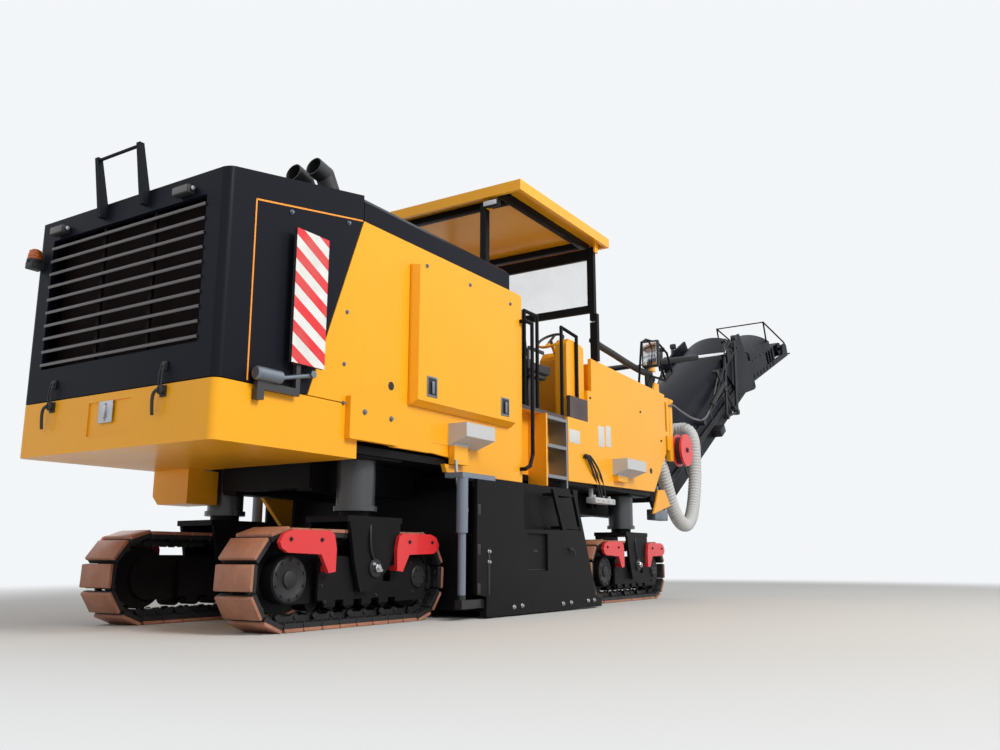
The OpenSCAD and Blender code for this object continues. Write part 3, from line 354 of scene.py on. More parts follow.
def ladder_material():
    """Galvanised steps; the plate that closes the bay behind them is yellow."""
    f = Finish("ladder_steel")
    plate = f.axis("X") < 4.199 + rear_x
    f.set("Metallic", (1.0 - plate) * 0.85)
    return f.close(f.mix(plate, (0.26, 0.27, 0.28), body_yellow), f.noise(5.0, 4.0, 0.6) * 0.2 + 0.28,
                   70.0, 0.2)


def console_material():
    """Yellow cabinets whose control tops, column and wheel are dark plastic."""
    f = Finish("console_paint")
    top = f.axis("Z") > 2.862
    cloud = f.noise(2.0, 4.0, 0.6)
    base = f.mix(cloud.ramp(0.3, 0.7) * 0.35, (0.92, 0.385, 0.010), (0.83, 0.34, 0.010))
    return f.close(f.mix(top, base, (0.02, 0.02, 0.022)), cloud * 0.12 + top * 0.15 + 0.3, 260.0)


# Finishes of the construction's own nodes: the slot's, or one of their own

own_finish = {
    "warning_boards": hazard_material(),
    "louvres": finishes["louvre_black"],
    "cooler": finishes["louvre_black"],
    "plate_cylinders": two_zones("plate_cylinder_steel", 0.20, (0.012, 0.012, 0.013), (0.16, 0.19, 0.24)),
    "lamp_boxes": two_zones("lamp_box_white", 1.43, (0.90, 0.41, 0.010), (0.50, 0.51, 0.52)),
    "lift_columns": finishes["column_grey"],
    "platform": platform_material(),
    "ladders": ladder_material(),
    "console": console_material(),
}
slot_of = {part["node"]: part["material_slot"] for part in frame["record"]["subparts"]}
for name, obj in nodes.items():
    obj.data.materials.clear()
    obj.data.materials.append(own_finish.get(name, finishes[slot_of[name]]))


# Paths and Geometry Nodes trees

def toward(direction):
    """Turns Z to a direction."""
    return Vector(direction).normalized().to_track_quat("Z", "Y").to_matrix().to_4x4()


def path_length(points):
    """The length of a line through all the points."""
    return sum((q - o).length for o, q in zip(points, points[1:]))


def smooth_path(points, step, fineness=24):
    """Points along a Catmull-Rom curve through the given ones, about a step apart."""
    p = [Vector(q) for q in points]
    ends = [2 * p[0] - p[1]] + p + [2 * p[-1] - p[-2]]
    fine = []
    for i in range(1, len(ends) - 2):
        a, b, c, d = ends[i - 1:i + 3]
        for k in range(fineness):
            t = k / fineness
            fine.append(0.5 * (2 * b + (c - a) * t + (2 * a - 5 * b + 4 * c - d) * t * t
                               + (3 * b - a - 3 * c + d) * t ** 3))
    fine.append(p[-1])
    total = path_length(fine)
    step = total / max(1, round(total / step))
    out, left = [fine[0]], step
    for o, q in zip(fine, fine[1:]):
        gap = (q - o).length
        while left <= gap:
            out.append(o.lerp(q, left / gap))
            left += step
        left -= gap
    if (out[-1] - fine[-1]).length > step * 0.5:
        out.append(fine[-1])
    else:
        out[-1] = fine[-1]
    return out


def tree_with(name, inputs):
    """A Geometry Nodes tree with named inputs, its start and its end."""
    tree = bpy.data.node_groups.new(name, "GeometryNodeTree")
    for label, kind in (("Geometry", "Geometry"), *inputs, ("Material", "Material")):
        tree.interface.new_socket(name=label, in_out="INPUT", socket_type="NodeSocket" + kind)
    tree.interface.new_socket(name="Geometry", in_out="OUTPUT", socket_type="NodeSocketGeometry")
    return tree, tree.nodes.new("NodeGroupInput").outputs, tree.nodes.new("NodeGroupOutput")


def close_tree(tree, made, start, end):
    """Makes the instances real and gives them their material."""
    real = add_node(tree, "GeometryNodeRealizeInstances", None, {0: made})
    coat = add_node(tree, "GeometryNodeSetMaterial", None,
                    {"Geometry": real.outputs[0], "Material": start["Material"]})
    tree.links.new(coat.outputs[0], end.inputs[0])
    return tree


def make_repeat_tree():
    """Puts the unit on every point, turned and grown by the point's own values."""
    tree, start, end = tree_with("repeat_on_points", [("Unit", "Object"), ("Size", "Float")])

    def attribute(name, kind):
        node = add_node(tree, "GeometryNodeInputNamedAttribute", {"data_type": kind}, {"Name": name})
        return next(out for out in node.outputs if out.enabled and out.name == "Attribute")

    unit = add_node(tree, "GeometryNodeObjectInfo", None, {"Object": start["Unit"], "As Instance": True})
    turn = add_node(tree, "FunctionNodeEulerToRotation", None, {0: attribute("turn", "FLOAT_VECTOR")})
    size = Socket(tree, attribute("grow", "FLOAT")) * start["Size"]
    put = add_node(tree, "GeometryNodeInstanceOnPoints", None,
                   {"Points": start["Geometry"], "Instance": unit.outputs["Geometry"],
                    "Rotation": turn.outputs[0], "Scale": size})
    return close_tree(tree, put.outputs[0], start, end)


def make_duct_tree():
    """A round tube along the curve, with ridges at an even pitch."""
    rings_per_ridge = 6.0
    tree, start, end = tree_with("ridged_duct", [("Outside Radius", "Float"), ("Ridge Pitch", "Float"),
                                                 ("Ridge Depth", "Float"), ("Sides", "Int")])
    pitch = Socket(tree, start["Ridge Pitch"])
    fine = add_node(tree, "GeometryNodeResampleCurve", {"mode": "LENGTH"},
                    {"Curve": start["Geometry"], "Length": pitch / rings_per_ridge})
    along = Socket(tree, add_node(tree, "GeometryNodeSplineParameter").outputs["Length"])
    sunk = (1.0 - (along / pitch * (2.0 * math.pi)).cosine()) * 0.5
    ring = add_node(tree, "GeometryNodeCurvePrimitiveCircle", None,
                    {"Resolution": start["Sides"], "Radius": start["Outside Radius"]})
    tube = add_node(tree, "GeometryNodeCurveToMesh", None,
                    {"Curve": fine.outputs[0], "Profile Curve": ring.outputs[0],
                     "Scale": 1.0 - sunk * start["Ridge Depth"], "Fill Caps": True})
    return close_tree(tree, tube.outputs[0], start, end)


repeat_tree = make_repeat_tree()
duct_tree = make_duct_tree()


def made_by(tree, data, values):
    """The plain mesh that a tree makes of a mesh or curve."""
    obj = bpy.data.objects.new("scratch", data)
    scene.collection.objects.link(obj)
    step = obj.modifiers.new("tree", "NODES")
    step.node_group = tree
    for item in tree.interface.items_tree:
        if item.item_type == "SOCKET" and item.in_out == "INPUT" and item.name in values:
            step[item.identifier] = values[item.name]
    bpy.context.view_layer.update()
    mesh = bpy.data.meshes.new_from_object(obj.evaluated_get(bpy.context.evaluated_depsgraph_get()))
    bpy.data.objects.remove(obj)
    return mesh


# Meshes of the pieces, built in metres ahead of the rear face

def circle(radius, k, sides):
    """Corner k of a ring of so many sides."""
    turn = 2 * math.pi * k / sides
    return radius * math.cos(turn), radius * math.sin(turn)


def join_rings(part, rings):
    """Faces between rings of corners; a ring of one corner is a tip."""
    for a, b in zip(rings, rings[1:]):
        sides = max(len(a), len(b))
        for k in range(sides):
            m = (k + 1) % sides
            if len(a) == 1:
                part.faces.new((a[0], b[k], b[m]))
            elif len(b) == 1:
                part.faces.new((a[k], a[m], b[0]))
            else:
                part.faces.new((a[k], a[m], b[m], b[k]))


class Solid:
    """Closed parts gathered into one mesh."""

    def __init__(self):
        self.bm = bmesh.new()
        self.bolts = []

    def repeat(self, unit, places, grow=None):
        """Adds a copy of another Solid at every place, a list of matrices."""
        mesh = bpy.data.meshes.new("unit")
        unit.bm.to_mesh(mesh)
        unit.bm.free()
        holder = bpy.data.objects.new("unit", mesh)
        scene.collection.objects.link(holder)
        points = bpy.data.meshes.new("points")
        points.from_pydata([m.to_translation() for m in places], [], [])
        points.attributes.new("turn", "FLOAT_VECTOR", "POINT")
        points.attributes.new("grow", "FLOAT", "POINT")
        turn, grown = points.attributes["turn"], points.attributes["grow"]
        for i, m in enumerate(places):
            turn.data[i].vector = m.to_euler("XYZ")
            grown.data[i].value = grow[i] if grow else 1.0
        made = made_by(repeat_tree, points,
                       {"Unit": holder, "Size": 1.0, "Material": finishes["dark_steel"]})
        self.bm.from_mesh(made)
        bpy.data.objects.remove(holder)
        bpy.data.meshes.remove(made)
        return self

    def merge(self, part, matrix=None):
        if matrix is not None:
            part.transform(matrix)
        bmesh.ops.recalc_face_normals(part, faces=part.faces[:])
        scratch = bpy.data.meshes.new("scratch")
        part.to_mesh(scratch)
        part.free()
        self.bm.from_mesh(scratch)
        bpy.data.meshes.remove(scratch)
        return self

    def block(self, lo, hi, bevel=0.004):
        part = bmesh.new()
        verts = bmesh.ops.create_cube(part, size=1.0)["verts"]
        size = [abs(b - a) for a, b in zip(lo, hi)]
        middle = [(a + b) / 2 for a, b in zip(lo, hi)]
        bmesh.ops.scale(part, vec=size, verts=verts)
        bmesh.ops.translate(part, vec=middle, verts=verts)
        bmesh.ops.bevel(part, geom=part.edges[:], offset=min(bevel, min(size) * 0.45), segments=2,
                        profile=0.5, affect="EDGES")
        return self.merge(part)

    def prism(self, outline, lo, hi, bevel=0.0):
        """An outline in X and Z drawn out along Y."""
        part = bmesh.new()
        low, high = ([part.verts.new((u, w, v)) for u, v in outline] for w in (lo, hi))
        part.faces.new(low)
        part.faces.new(high[::-1])
        for i in range(len(low)):
            j = (i + 1) % len(low)
            part.faces.new((low[i], low[j], high[j], high[i]))
        if bevel:
            bmesh.ops.bevel(part, geom=part.edges[:], offset=bevel, segments=1, profile=0.5, affect="EDGES")
        return self.merge(part)

    def lathe(self, profile, foot, axis=UP, sides=32):
        """Turns (radius, height) pairs round an axis; closes both ends."""
        part = bmesh.new()
        rings = [[part.verts.new((*circle(r, k, sides), h)) for k in range(sides if r > 1e-6 else 1)]
                 for r, h in profile]
        join_rings(part, rings)
        for ring in (rings[0], rings[-1]):
            if len(ring) > 1:
                part.faces.new(ring)
        return self.merge(part, Matrix.Translation(foot) @ toward(axis))

    def rod(self, p, q, r, sides=20, chamfer=0.002):
        axis = Vector(q) - Vector(p)
        length = axis.length
        c = min(chamfer, r * 0.4, length * 0.4)
        return self.lathe([(r - c, 0), (r, c), (r, length - c), (r - c, length)], p, axis, sides)

    def sweep(self, path, radius, sides=12):
        """A round tube along a path."""
        part = bmesh.new()
        path = [Vector(p) for p in path]
        last = len(path) - 1
        side = None
        rings = []
        for i, p in enumerate(path):
            t = (path[min(i + 1, last)] - path[max(i - 1, 0)]).normalized()
            side = (Vector((0, 0.02, 1)).cross(t) if side is None else side - side.dot(t) * t).normalized()
            other = t.cross(side)
            rings.append([part.verts.new(p + radius * (math.cos(2 * math.pi * k / sides) * side
                                                       + math.sin(2 * math.pi * k / sides) * other))
                          for k in range(sides)])
        join_rings(part, rings)
        part.faces.new(rings[0][::-1])
        part.faces.new(rings[-1])
        return self.merge(part)

    def hose(self, points, step, radius, sides=12):
        """A round tube along the smooth curve through some points."""
        return self.sweep(smooth_path(points, step), radius, sides)

    def bolt(self, places, axis, size):
        """Notes hexagon heads on their washers; size is half the width across the flats."""
        self.bolts += [(Vector(p), Vector(axis), size) for p in places]
        return self

    def mirror(self):
        """Adds the same parts on the left side."""
        part = self.bm.copy()
        part.transform(flip_y)
        self.bolts += [(flip_y @ p, flip_y @ axis, size) for p, axis, size in self.bolts]
        return self.merge(part)

    def piece(self, name, body, finish, angle=38.0, matrix=None, left=False, replaces=(), slot=None):
        """The finished object, riding on its body; its bolts are added here."""
        if self.bolts:
            head = Solid()
            head.rod((0, 0, 0), (0, 0, 0.3), 1.55, 18, 0.08)
            head.lathe([(1.15, 0), (1.15, 0.85), (0.95, 1.1)], (0, 0, 0.28), UP, 6)
            self.repeat(head, [Matrix.Translation(p) @ toward(axis) for p, axis, _ in self.bolts],
                        [size for _, _, size in self.bolts])
        if matrix is not None:
            self.bm.transform(matrix)
        if left:
            self.bm.transform(flip_y)
            bmesh.ops.reverse_faces(self.bm, faces=self.bm.faces[:])
        self.bm.transform(to_frame)
        mesh = bpy.data.meshes.new(name)
        self.bm.to_mesh(mesh)
        self.bm.free()
        mesh.shade_smooth()
        mesh.set_sharp_from_angle(angle=math.radians(angle))
        mesh.materials.append(finishes[finish])
        obj = bpy.data.objects.new(name, mesh)
        scene.collection.objects.link(obj)
        if body:
            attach(obj, body)
        if replaces:
            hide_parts(*replaces)
        return obj


# Dust hose from the nose to the conveyor's collar: ribbed white duct

hose_path = smooth_path([
    (7.38, -0.860, 1.960), (7.45, -0.860, 1.960), (7.54, -0.866, 1.895), (7.62, -0.880, 1.770),
    (7.70, -0.890, 1.620), (7.79, -0.900, 1.445), (7.89, -0.905, 1.270), (8.01, -0.910, 1.120),
    (8.15, -0.915, 1.010), (8.31, -0.915, 0.955), (8.47, -0.915, 0.965), (8.61, -0.915, 1.050),
    (8.72, -0.912, 1.190), (8.805, -0.910, 1.380), (8.87, -0.908, 1.590), (8.91, -0.903, 1.800),
    (8.93, -0.898, 2.000), (8.94, -0.892, 2.120), (8.95, -0.872, 2.230), (8.958, -0.830, 2.318),
    (8.964, -0.770, 2.368), (8.968, -0.710, 2.384), (8.971, -0.650, 2.384), (8.974, -0.585, 2.384)], 0.03)
line = bpy.data.curves.new("hose_line", "CURVE")
line.dimensions = "3D"
spline = line.splines.new("POLY")
spline.points.add(len(hose_path) - 1)
for point, place in zip(spline.points, hose_path):
    point.co = (*place, 1.0)
    point.radius = 1.0
duct = Solid()
duct.bm.from_mesh(made_by(duct_tree, line, {
    "Outside Radius": 0.094, "Ridge Pitch": 0.045, "Ridge Depth": 0.10, "Sides": 28,
    "Material": finishes["hose_white"]}))
duct = duct.piece("dust_hose_duct", None, "hose_white", 70.0, replaces=["dust_hose"])
tuple(at(7.42, -0.9, 1.5))
tuple(at(8.93, -0.9, 1.5))
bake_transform(duct)

clamps = Solid()
for i in (2, 4):
    p, q = hose_path[i], hose_path[i + 1]
    clamps.rod(p, p + (q - p).normalized() * 0.018, 0.0965, 32, 0.001)
clamps.piece("hose_clamps", "machine", "bright_steel")

# Limp cable from the nose post to the conveyor, in two runs: a blend works across one joint only

cable_r, joint_r, joint_half = 0.014, 0.021, 0.045
cable_route = [Vector((7.57, -1.039, 2.500)), Vector((7.64, -1.090, 2.512)), spot(674, 406, "Y", -1.06),
               spot(682, 412, "Y", -1.00), spot(692, 418, "Y", -0.91), spot(700.5, 420.5, "Y", -0.82),
               spot(705, 418, "Y", -0.77), spot(709, 411, "Y", -0.72), spot(712.5, 401, "Y", -0.69),
               spot(715.5, 388, "Y", -0.675), spot(718, 374, "Y", -0.662)]
joint_at = 5
cable_runs = [smooth_path(cable_route[:joint_at + 1], 0.02), smooth_path(cable_route[joint_at:], 0.02)]
along = (cable_runs[1][1] - cable_runs[0][-2]).normalized() * joint_half
cable_joint = Solid().rod(cable_route[joint_at] - along, cable_route[joint_at] + along, joint_r, 16)
cable_joint = cable_joint.piece("cable_joint", "slew_frame", "black_rubber")
for k, (first, second) in enumerate((("machine", "slew_frame"), ("slew_frame", "conveyor_lower"))):
    cable = Solid().sweep(cable_runs[k], cable_r).piece("nose_cable_" + str(k + 1), None, "lip_grey")
    line = [to_frame @ q for q in cable_runs[k]]
    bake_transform(cable)
    path_length(line)

# Tracks: steel chain, shoe plates and copper brown pads, in the frame of a steering column

axle_z, wheel_half, track_mid, track_gauge = 0.35, 0.72, -0.125, 1.476
link_r, pin_r, shoe_r, rim_r, tread_r = 0.300, 0.2625, 0.290, 0.325, 0.350
pad_count, pad_width = 26, 0.350
loop_len = 4 * wheel_half + 2 * math.pi * link_r
pad_pitch = loop_len / pad_count
column_rear, column_front = 1.70, 6.64


def loop_place(s):
    """Turn and place of a shoe at distance s along the chain: local Z points outwards."""
    s %= loop_len
    straight, arc = 2 * wheel_half, math.pi * link_r
    for length, x, run, turn, bend in (
            (straight, -wheel_half, 1, 0.0, 0), (arc, wheel_half, 0, 0.0, 1),
            (straight, wheel_half, -1, math.pi, 0), (arc, -wheel_half, 0, math.pi, 1)):
        if s < length:
            break
        s -= length
    return Matrix.Translation((x + run * s, 0, axle_z)) \
        @ Matrix.Rotation(turn + bend * s / link_r, 4, "Y") @ Matrix.Translation((0, 0, link_r))


def make_chain(corner, place, left):
    """Pads, and the chain of shoes, links and pins that carries them."""
    middle = Matrix.Translation((track_mid, 0, 0))
    shoes = [middle @ loop_place((k + 0.5) * pad_pitch) for k in range(pad_count)]
    pins = [middle @ loop_place(k * pad_pitch) for k in range(pad_count)]
    base, crown, top, sunk = rim_r - link_r, tread_r - link_r, shoe_r - link_r, pin_r - link_r
    pad = Solid().prism([(-0.088, base), (0.088, base), (0.088, base + 0.012), (0.083, crown),
                         (-0.083, crown), (-0.088, base + 0.012)], -pad_width / 2, pad_width / 2, 0.003)
    shoe = Solid().prism([(-0.092, top), (0.080, top), (0.090, base - 0.006), (0.090, base),
                          (-0.084, base)], -pad_width / 2 + 0.006, pad_width / 2 - 0.006, 0.002)
    for y in (-0.12, 0.12):
        for x in (-0.045, 0.045):
            shoe.rod((x, y, top - 0.010), (x, y, top + 0.002), 0.013, 6)
    link = [(-0.10, -0.012), (-0.09, -0.030), (-0.06, -0.032), (-0.04, -0.012), (0.04, -0.012),
            (0.06, -0.032), (0.09, -0.030), (0.10, -0.012), (0.10, 0.010), (0.075, 0.0275),
            (-0.075, 0.0275), (-0.10, 0.010)]
    link = [(x, z + sunk) for x, z in link]
    wide, narrow = Solid(), Solid()
    for unit, y in ((wide, 0.070), (narrow, 0.048)):
        for side in (-1, 1):
            unit.prism(link, side * y, side * (y + 0.017), 0.002)
    pin = Solid().rod((0, -0.096, sunk - 0.006), (0, 0.096, sunk - 0.006), 0.019, 14)
    chain = Solid().repeat(shoe, shoes).repeat(wide, shoes[::2]).repeat(narrow, shoes[1::2])
    chain.repeat(pin, pins)
    Solid().repeat(pad, shoes).piece("pads_" + corner, "track_" + corner, "pad_polyurethane", matrix=place,
                                     left=left, replaces=["track_loop_" + corner])
    chain.piece("chain_" + corner, "track_" + corner, "dark_steel", matrix=place, left=left,
                slot="frame_paint")


def make_trim(corner, place, left):
    """Hub and idler covers with their bolts, pivot nut and grease line on the outer side."""
    rear, front = track_mid - wheel_half, track_mid + wheel_half
    hub_y, frame_y, boss_y, guard_y, pivot_z = -0.1675, -0.160, -0.213, -0.251, 0.42
    trim = Solid()
    trim.lathe([(0.155, 0), (0.155, 0.006), (0.148, 0.010), (0.120, 0.010), (0.112, 0.004), (0.030, 0.004)],
               (rear, hub_y, axle_z), RIGHT, 48)
    trim.lathe([(0.060, 0), (0.060, 0.010), (0.052, 0.014)], (rear, hub_y - 0.003, axle_z), RIGHT, 32)
    trim.lathe([(0.085, 0), (0.085, 0.012), (0.078, 0.018), (0.030, 0.018)], (front, frame_y, axle_z),
               RIGHT, 40)
    for x, y, r, count, first in ((rear, hub_y - 0.009, 0.134, 10, 0.5),
                                  (front, frame_y - 0.017, 0.062, 6, 0)):
        ring = [circle(r, k + first, count) for k in range(count)]
        trim.bolt([(x + dx, y, axle_z + dz) for dx, dz in ring], RIGHT, 0.009)
    frame_bolts = ((-0.40, 0.30), (-0.40, 0.40), (0.20, 0.22), (0.45, 0.45), (0.62, 0.46), (0.66, 0.23),
                   (-0.36, 0.19))
    trim.bolt([(track_mid + x, frame_y, z) for x, z in frame_bolts], RIGHT, 0.010)
    trim.lathe([(0.070, 0), (0.070, 0.012), (0.064, 0.018)], (0.0, boss_y, pivot_z), RIGHT, 40)
    trim.hose([(-0.05, -0.205, 0.75), (-0.07, -0.222, 0.66), (-0.06, -0.226, 0.55), (-0.02, -0.224, 0.48)],
              0.02, 0.008, 10)
    nut_y = boss_y - 0.016
    nut = Solid().lathe([(0.034, 0), (0.034, 0.024), (0.028, 0.030)], (0.0, nut_y, pivot_z), RIGHT, 6)
    nut.rod((0.0, nut_y, pivot_z), (0.0, -0.270, pivot_z), 0.016, 18)
    nut.block((-0.055, -0.245, 0.440), (-0.020, -0.228, 0.462), 0.003)
    nut.block((0.030, -0.245, 0.392), (0.062, -0.228, 0.412), 0.003)
    guard = Solid().bolt([(track_mid + x, guard_y, 0.62) for x in (-0.80, -0.50, 0.50, 0.80)], RIGHT, 0.010)
    for name, solid, finish, slot in (("track_trim_", trim, "dark_steel", "frame_paint"),
                                      ("track_pivot_", nut, "bright_steel", None),
                                      ("guard_bolts_", guard, "dark_steel", "frame_paint")):
        solid.piece(name + corner, "track_" + corner, finish, matrix=place, left=left, slot=slot)


for end, column_x in (("r", column_rear), ("f", column_front)):
    for side, left in (("r", False), ("l", True)):
        place = Matrix.Translation((column_x, -track_gauge / 2, 0))
        make_chain(end + side, place, left)
        make_trim(end + side, place, left)

# Rear hood: work lamps, beacon, painted highlights on the louvre edges, latches and trim

lamp_ys = (-0.655, 0.740)
beacon = (-0.06, 0.99)
cases, lens, knobs = Solid(), Solid(), Solid()
for y in lamp_ys:
    cases.block((-0.066, y - 0.08, 2.868), (-0.012, y + 0.08, 2.932), 0.010)
    cases.prism([(-0.014, 2.885), (0.0, 2.885), (0.0, 2.915), (-0.014, 2.915)], y - 0.03, y + 0.03)
    for k in range(5):
        cases.block((-0.014, y - 0.075 + k * 0.034, 2.872), (-0.004, y - 0.068 + k * 0.034, 2.928), 0.001)
    lens.block((-0.0695, y - 0.071, 2.876), (-0.064, y + 0.071, 2.924), 0.002)
    knobs.lathe([(0.012, 0), (0.016, 0.006), (0.016, 0.014), (0.008, 0.022)],
                (-0.030, y - 0.080, 2.905), RIGHT, 20)
cases.block((-0.105, 0.945, 2.635), (0.0, 1.035, 2.690), 0.006)
cases.lathe([(0.055, 0), (0.055, 0.016), (0.050, 0.022), (0.046, 0.022)], (*beacon, 2.690), sides=40)
cases.piece("rear_lamp_cases", "rear_hood", "black_rubber", replaces=["lamps"], slot="lamp_plastic")
lens.piece("rear_lamp_lenses", "rear_hood", "lip_grey")
knobs.piece("rear_lamp_knobs", "rear_hood", "bright_steel")

# Painted highlight: thin grey strips on the outer edge of the louvre blades stand in for light catching the
# blade edges
blade_count, blade_pitch, first_blade_z = 10, 0.100, 1.850
edge_highlight_strip = Solid().block((-0.005, -0.855, -0.010), (0.005, 0.855, 0.010), 0.0015)
Solid().repeat(edge_highlight_strip, [Matrix.Translation((-0.0085, 0, first_blade_z + (k + 0.5) * blade_pitch - 0.0185))
                     for k in range(blade_count)]).piece("louvre_lips", "rear_hood", "lip_grey")
dome = [(0.052, 0), (0.053, 0.008), (0.050, 0.010), (0.050, 0.022), (0.053, 0.024), (0.050, 0.027),
        (0.049, 0.040), (0.052, 0.042), (0.048, 0.046), (0.046, 0.062), (0.042, 0.074), (0.032, 0.082),
        (0.0, 0.086)]
Solid().lathe(dome, (*beacon, 2.706), sides=40).piece("beacon_dome", "rear_hood", "amber_lens")

latches = Solid()
seam_z = 1.60
for p in spots("X", 0.0, (53, 407), (164, 389)):
    y, z = p.y, seam_z
    latches.block((-0.012, y - 0.030, z - 0.085), (0.0, y + 0.030, z - 0.010), 0.004)
    latches.lathe([(0.030, 0), (0.032, 0.004), (0.032, 0.024), (0.022, 0.032)], (-0.010, y, z - 0.040),
                  BACK, 28)
    latches.block((-0.016, y - 0.024, z + 0.090), (0.0, y + 0.024, z + 0.150), 0.004)
    for side in (-0.015, 0.015):
        latches.sweep([(-0.036, y + side, z - 0.045), (-0.034, y + side, z + 0.06),
                       (-0.022, y + side, z + 0.125)], 0.005, 8)
    latches.rod((-0.020, y - 0.022, z + 0.125), (-0.020, y + 0.022, z + 0.125), 0.007, 12)
    latches.hose([(-0.040, y, z - 0.035), (-0.052, y + 0.030, z - 0.060), (-0.050, y + 0.046, z - 0.110),
                  (-0.040, y + 0.050, z - 0.205)], 0.012, 0.011)
latches.piece("seam_latches", "machine", "black_rubber")

hatch = Solid()
a, b = spots("X", 0.0, (100, 402), (112, 422))
hatch.block((-0.008, min(a.y, b.y), b.z), (0.001, max(a.y, b.y), a.z), 0.003)
_, y, z = (a + b) / 2
hatch.block((-0.024, y - 0.012, z - 0.045), (-0.006, y + 0.012, z + 0.040), 0.005)
hatch.bolt([(-0.008, y, z + dz) for dz in (-0.055, 0.055)], BACK, 0.007)
hatch.piece("hatch_latch", "machine", "bright_steel")

# Planes of the right side: body, side panel, door, its front and the side plate
side_y, panel_y, door_y, plate_y = -1.05, -1.10, -1.14, -1.2505

trim = Solid()
top, low, front = spots("Y", side_y, (257, 199), (247, 380), (363, 221))
for a, b in ((top, low), (top, front)):
    run = (b - a).normalized()
    wide = Vector((run.z, 0, -run.x)) * 0.006
    trim.prism([(c.x, c.z) for c in (a - wide, b - wide, b + wide, a + wide)], -1.0515, -1.049)
trim.mirror().piece("hood_trim", "rear_hood", "orange_trim")

# Bolts and latches of the side panels and doors

Solid().bolt(spots("Y", side_y, (292, 212), (349, 223)), RIGHT, 0.011).mirror().piece(
    "hood_bolts", "rear_hood", "cylinder_grey")
side_bolts = Solid().bolt(spots("Y", side_y, (347, 312), (344, 364), (282, 391), (343, 403)), RIGHT, 0.011)
side_bolts.bolt(spots("Y", panel_y, (364.5, 412), (391, 419)), RIGHT, 0.014)
side_bolts.mirror().piece("panel_bolts", "machine", "cylinder_grey")

for side, left in BOTH_SIDES:
    door, shine = Solid(), Solid()
    for p in spots("Y", door_y, (432, 387), (505, 407)):
        for a, b in ((-0.070, -0.056), (0.056, 0.070)):
            shine.block((p.x + a, -1.147, p.z - 0.085), (p.x + b, -1.138, p.z + 0.085), 0.003)
            shine.block((p.x - 0.057, -1.147, p.z + a * 1.21), (p.x + 0.057, -1.138, p.z + b * 1.21), 0.003)
        door.block((p.x - 0.060, -1.142, p.z - 0.075), (p.x + 0.060, -1.138, p.z + 0.075), 0.002)
        door.rod((p.x, -1.152, p.z + 0.030), (p.x, -1.140, p.z + 0.030), 0.022, 24)
        shine.block((p.x - 0.016, -1.160, p.z - 0.060), (p.x + 0.016, -1.150, p.z + 0.045), 0.005)
    door.piece("door_latches_" + side, "door_" + side, "black_rubber", left=left)
    hinges = spots("Y", door_y, (427, 266), (470, 285), (510, 304))
    shine.bolt([(p.x, door_y, p.z) for p in hinges], RIGHT, 0.012)
    shine.piece("door_hardware_" + side, "door_" + side, "cylinder_grey", left=left)

corner = spots("Y", side_y, (420, 435), (468, 446), (466, 462), (428, 452))
Solid().prism([(c.x, c.z) for c in corner], -1.046, -1.02, 0.003).mirror().piece(
    "panel_corner", "machine", "yellow_paint")

# Folding arm of the warning board

arm_z, knee_x, eye_x, eye_z = 1.668, 0.500, 0.790, 1.742
arm = Solid()
arm.rod((0.275, -1.101, arm_z), (knee_x, -1.101, arm_z), 0.047, 28, 0.012)
arm.rod((knee_x, -1.090, arm_z), (0.800, -1.090, 1.738), 0.016, 16)
arm.rod((eye_x, -1.072, eye_z), (eye_x, -1.122, eye_z), 0.026, 20)
arm.block((0.340, -1.100, 1.615), (0.420, -1.066, 1.640))
arm.mirror().piece("board_arms", "machine", "cylinder_grey", slot="frame_paint")

# Bare plates, ports, bolts and hoses of the front body

plates = Solid()
for x0, y0, x1, y1 in ((569, 427, 580, 446), (598, 424, 604.5, 449), (605.5, 424, 611, 449)):
    a, b = spots("Y", side_y, (x0, y0 + 1.5), (x1, y1 - 1.5))
    plates.block((a.x, -1.0525, b.z), (b.x, -1.0495, a.z), 0.001)
plates.piece("bare_plates", "machine", "plain_plate")

ports = Solid()
port_y = -1.0495
for px, py, r in ((391, 386, 0.034), (651, 471, 0.036)):
    p = spot(px, py, "Y", side_y)
    ports.lathe([(r, 0), (r, 0.004), (r * 0.8, 0.006), (r * 0.72, 0.003), (r * 0.3, 0.003)],
                (p.x, port_y, p.z), RIGHT, 32)
port_bolts = spots("Y", side_y, (661, 441), (590, 398), (640, 412), (626, 478))
ports.bolt([(p.x, port_y, p.z) for p in port_bolts], RIGHT, 0.010)
ports.mirror().piece("ports", "machine", "dark_steel")

hoses = Solid()
for shift, low in ((0.0, 497), (0.07, 499), (0.15, 498)):
    start = spot(585, 458, "Y", -1.07) + Vector((shift * 0.6, 0, 0))
    end = spot(600, low, "Y", -1.00) + Vector((shift, 0, 0))
    bend = (start + end) / 2 + Vector((-0.06 + shift * 0.4, -0.035, 0.06))
    hoses.hose([start + Vector((0, 0.022, 0.0)), start + Vector((0.005, -0.012, 0.03)), bend, end,
                end + Vector((0, 0, -0.03))], 0.025, 0.011)
for dx in (0.0, 0.045):
    hoses.hose([(4.60 + dx, -0.98, 1.30), (4.66 + dx, -1.03, 1.10), (4.74 + dx, -1.03, 0.86),
                (4.80 + dx, -1.00, 0.70)], 0.03, 0.014)
hoses.piece("front_hoses", "machine", "black_rubber")

outlets = 4
manifold = Solid()
a, b = spots("Y", -1.0, (594, 497), (614, 505))
manifold.block((a.x, -1.02, b.z), (b.x, -0.90, a.z), 0.006)
for k in range(outlets):
    x = a.x + (b.x - a.x) * (k + 0.5) / outlets
    manifold.rod((x, -0.97, a.z - 0.002), (x, -0.97, a.z + 0.030), 0.018, 6)
    manifold.bolt([(x, -1.020, (a.z + b.z) / 2)], RIGHT, 0.008)
manifold.block((a.x + 0.03, -0.96, a.z), (a.x + 0.07, -0.92, 1.335))
manifold.piece("manifold", "machine", "lamp_plastic")

# Side plates: bolts, slot, hook and the pipe to the plate's cylinder

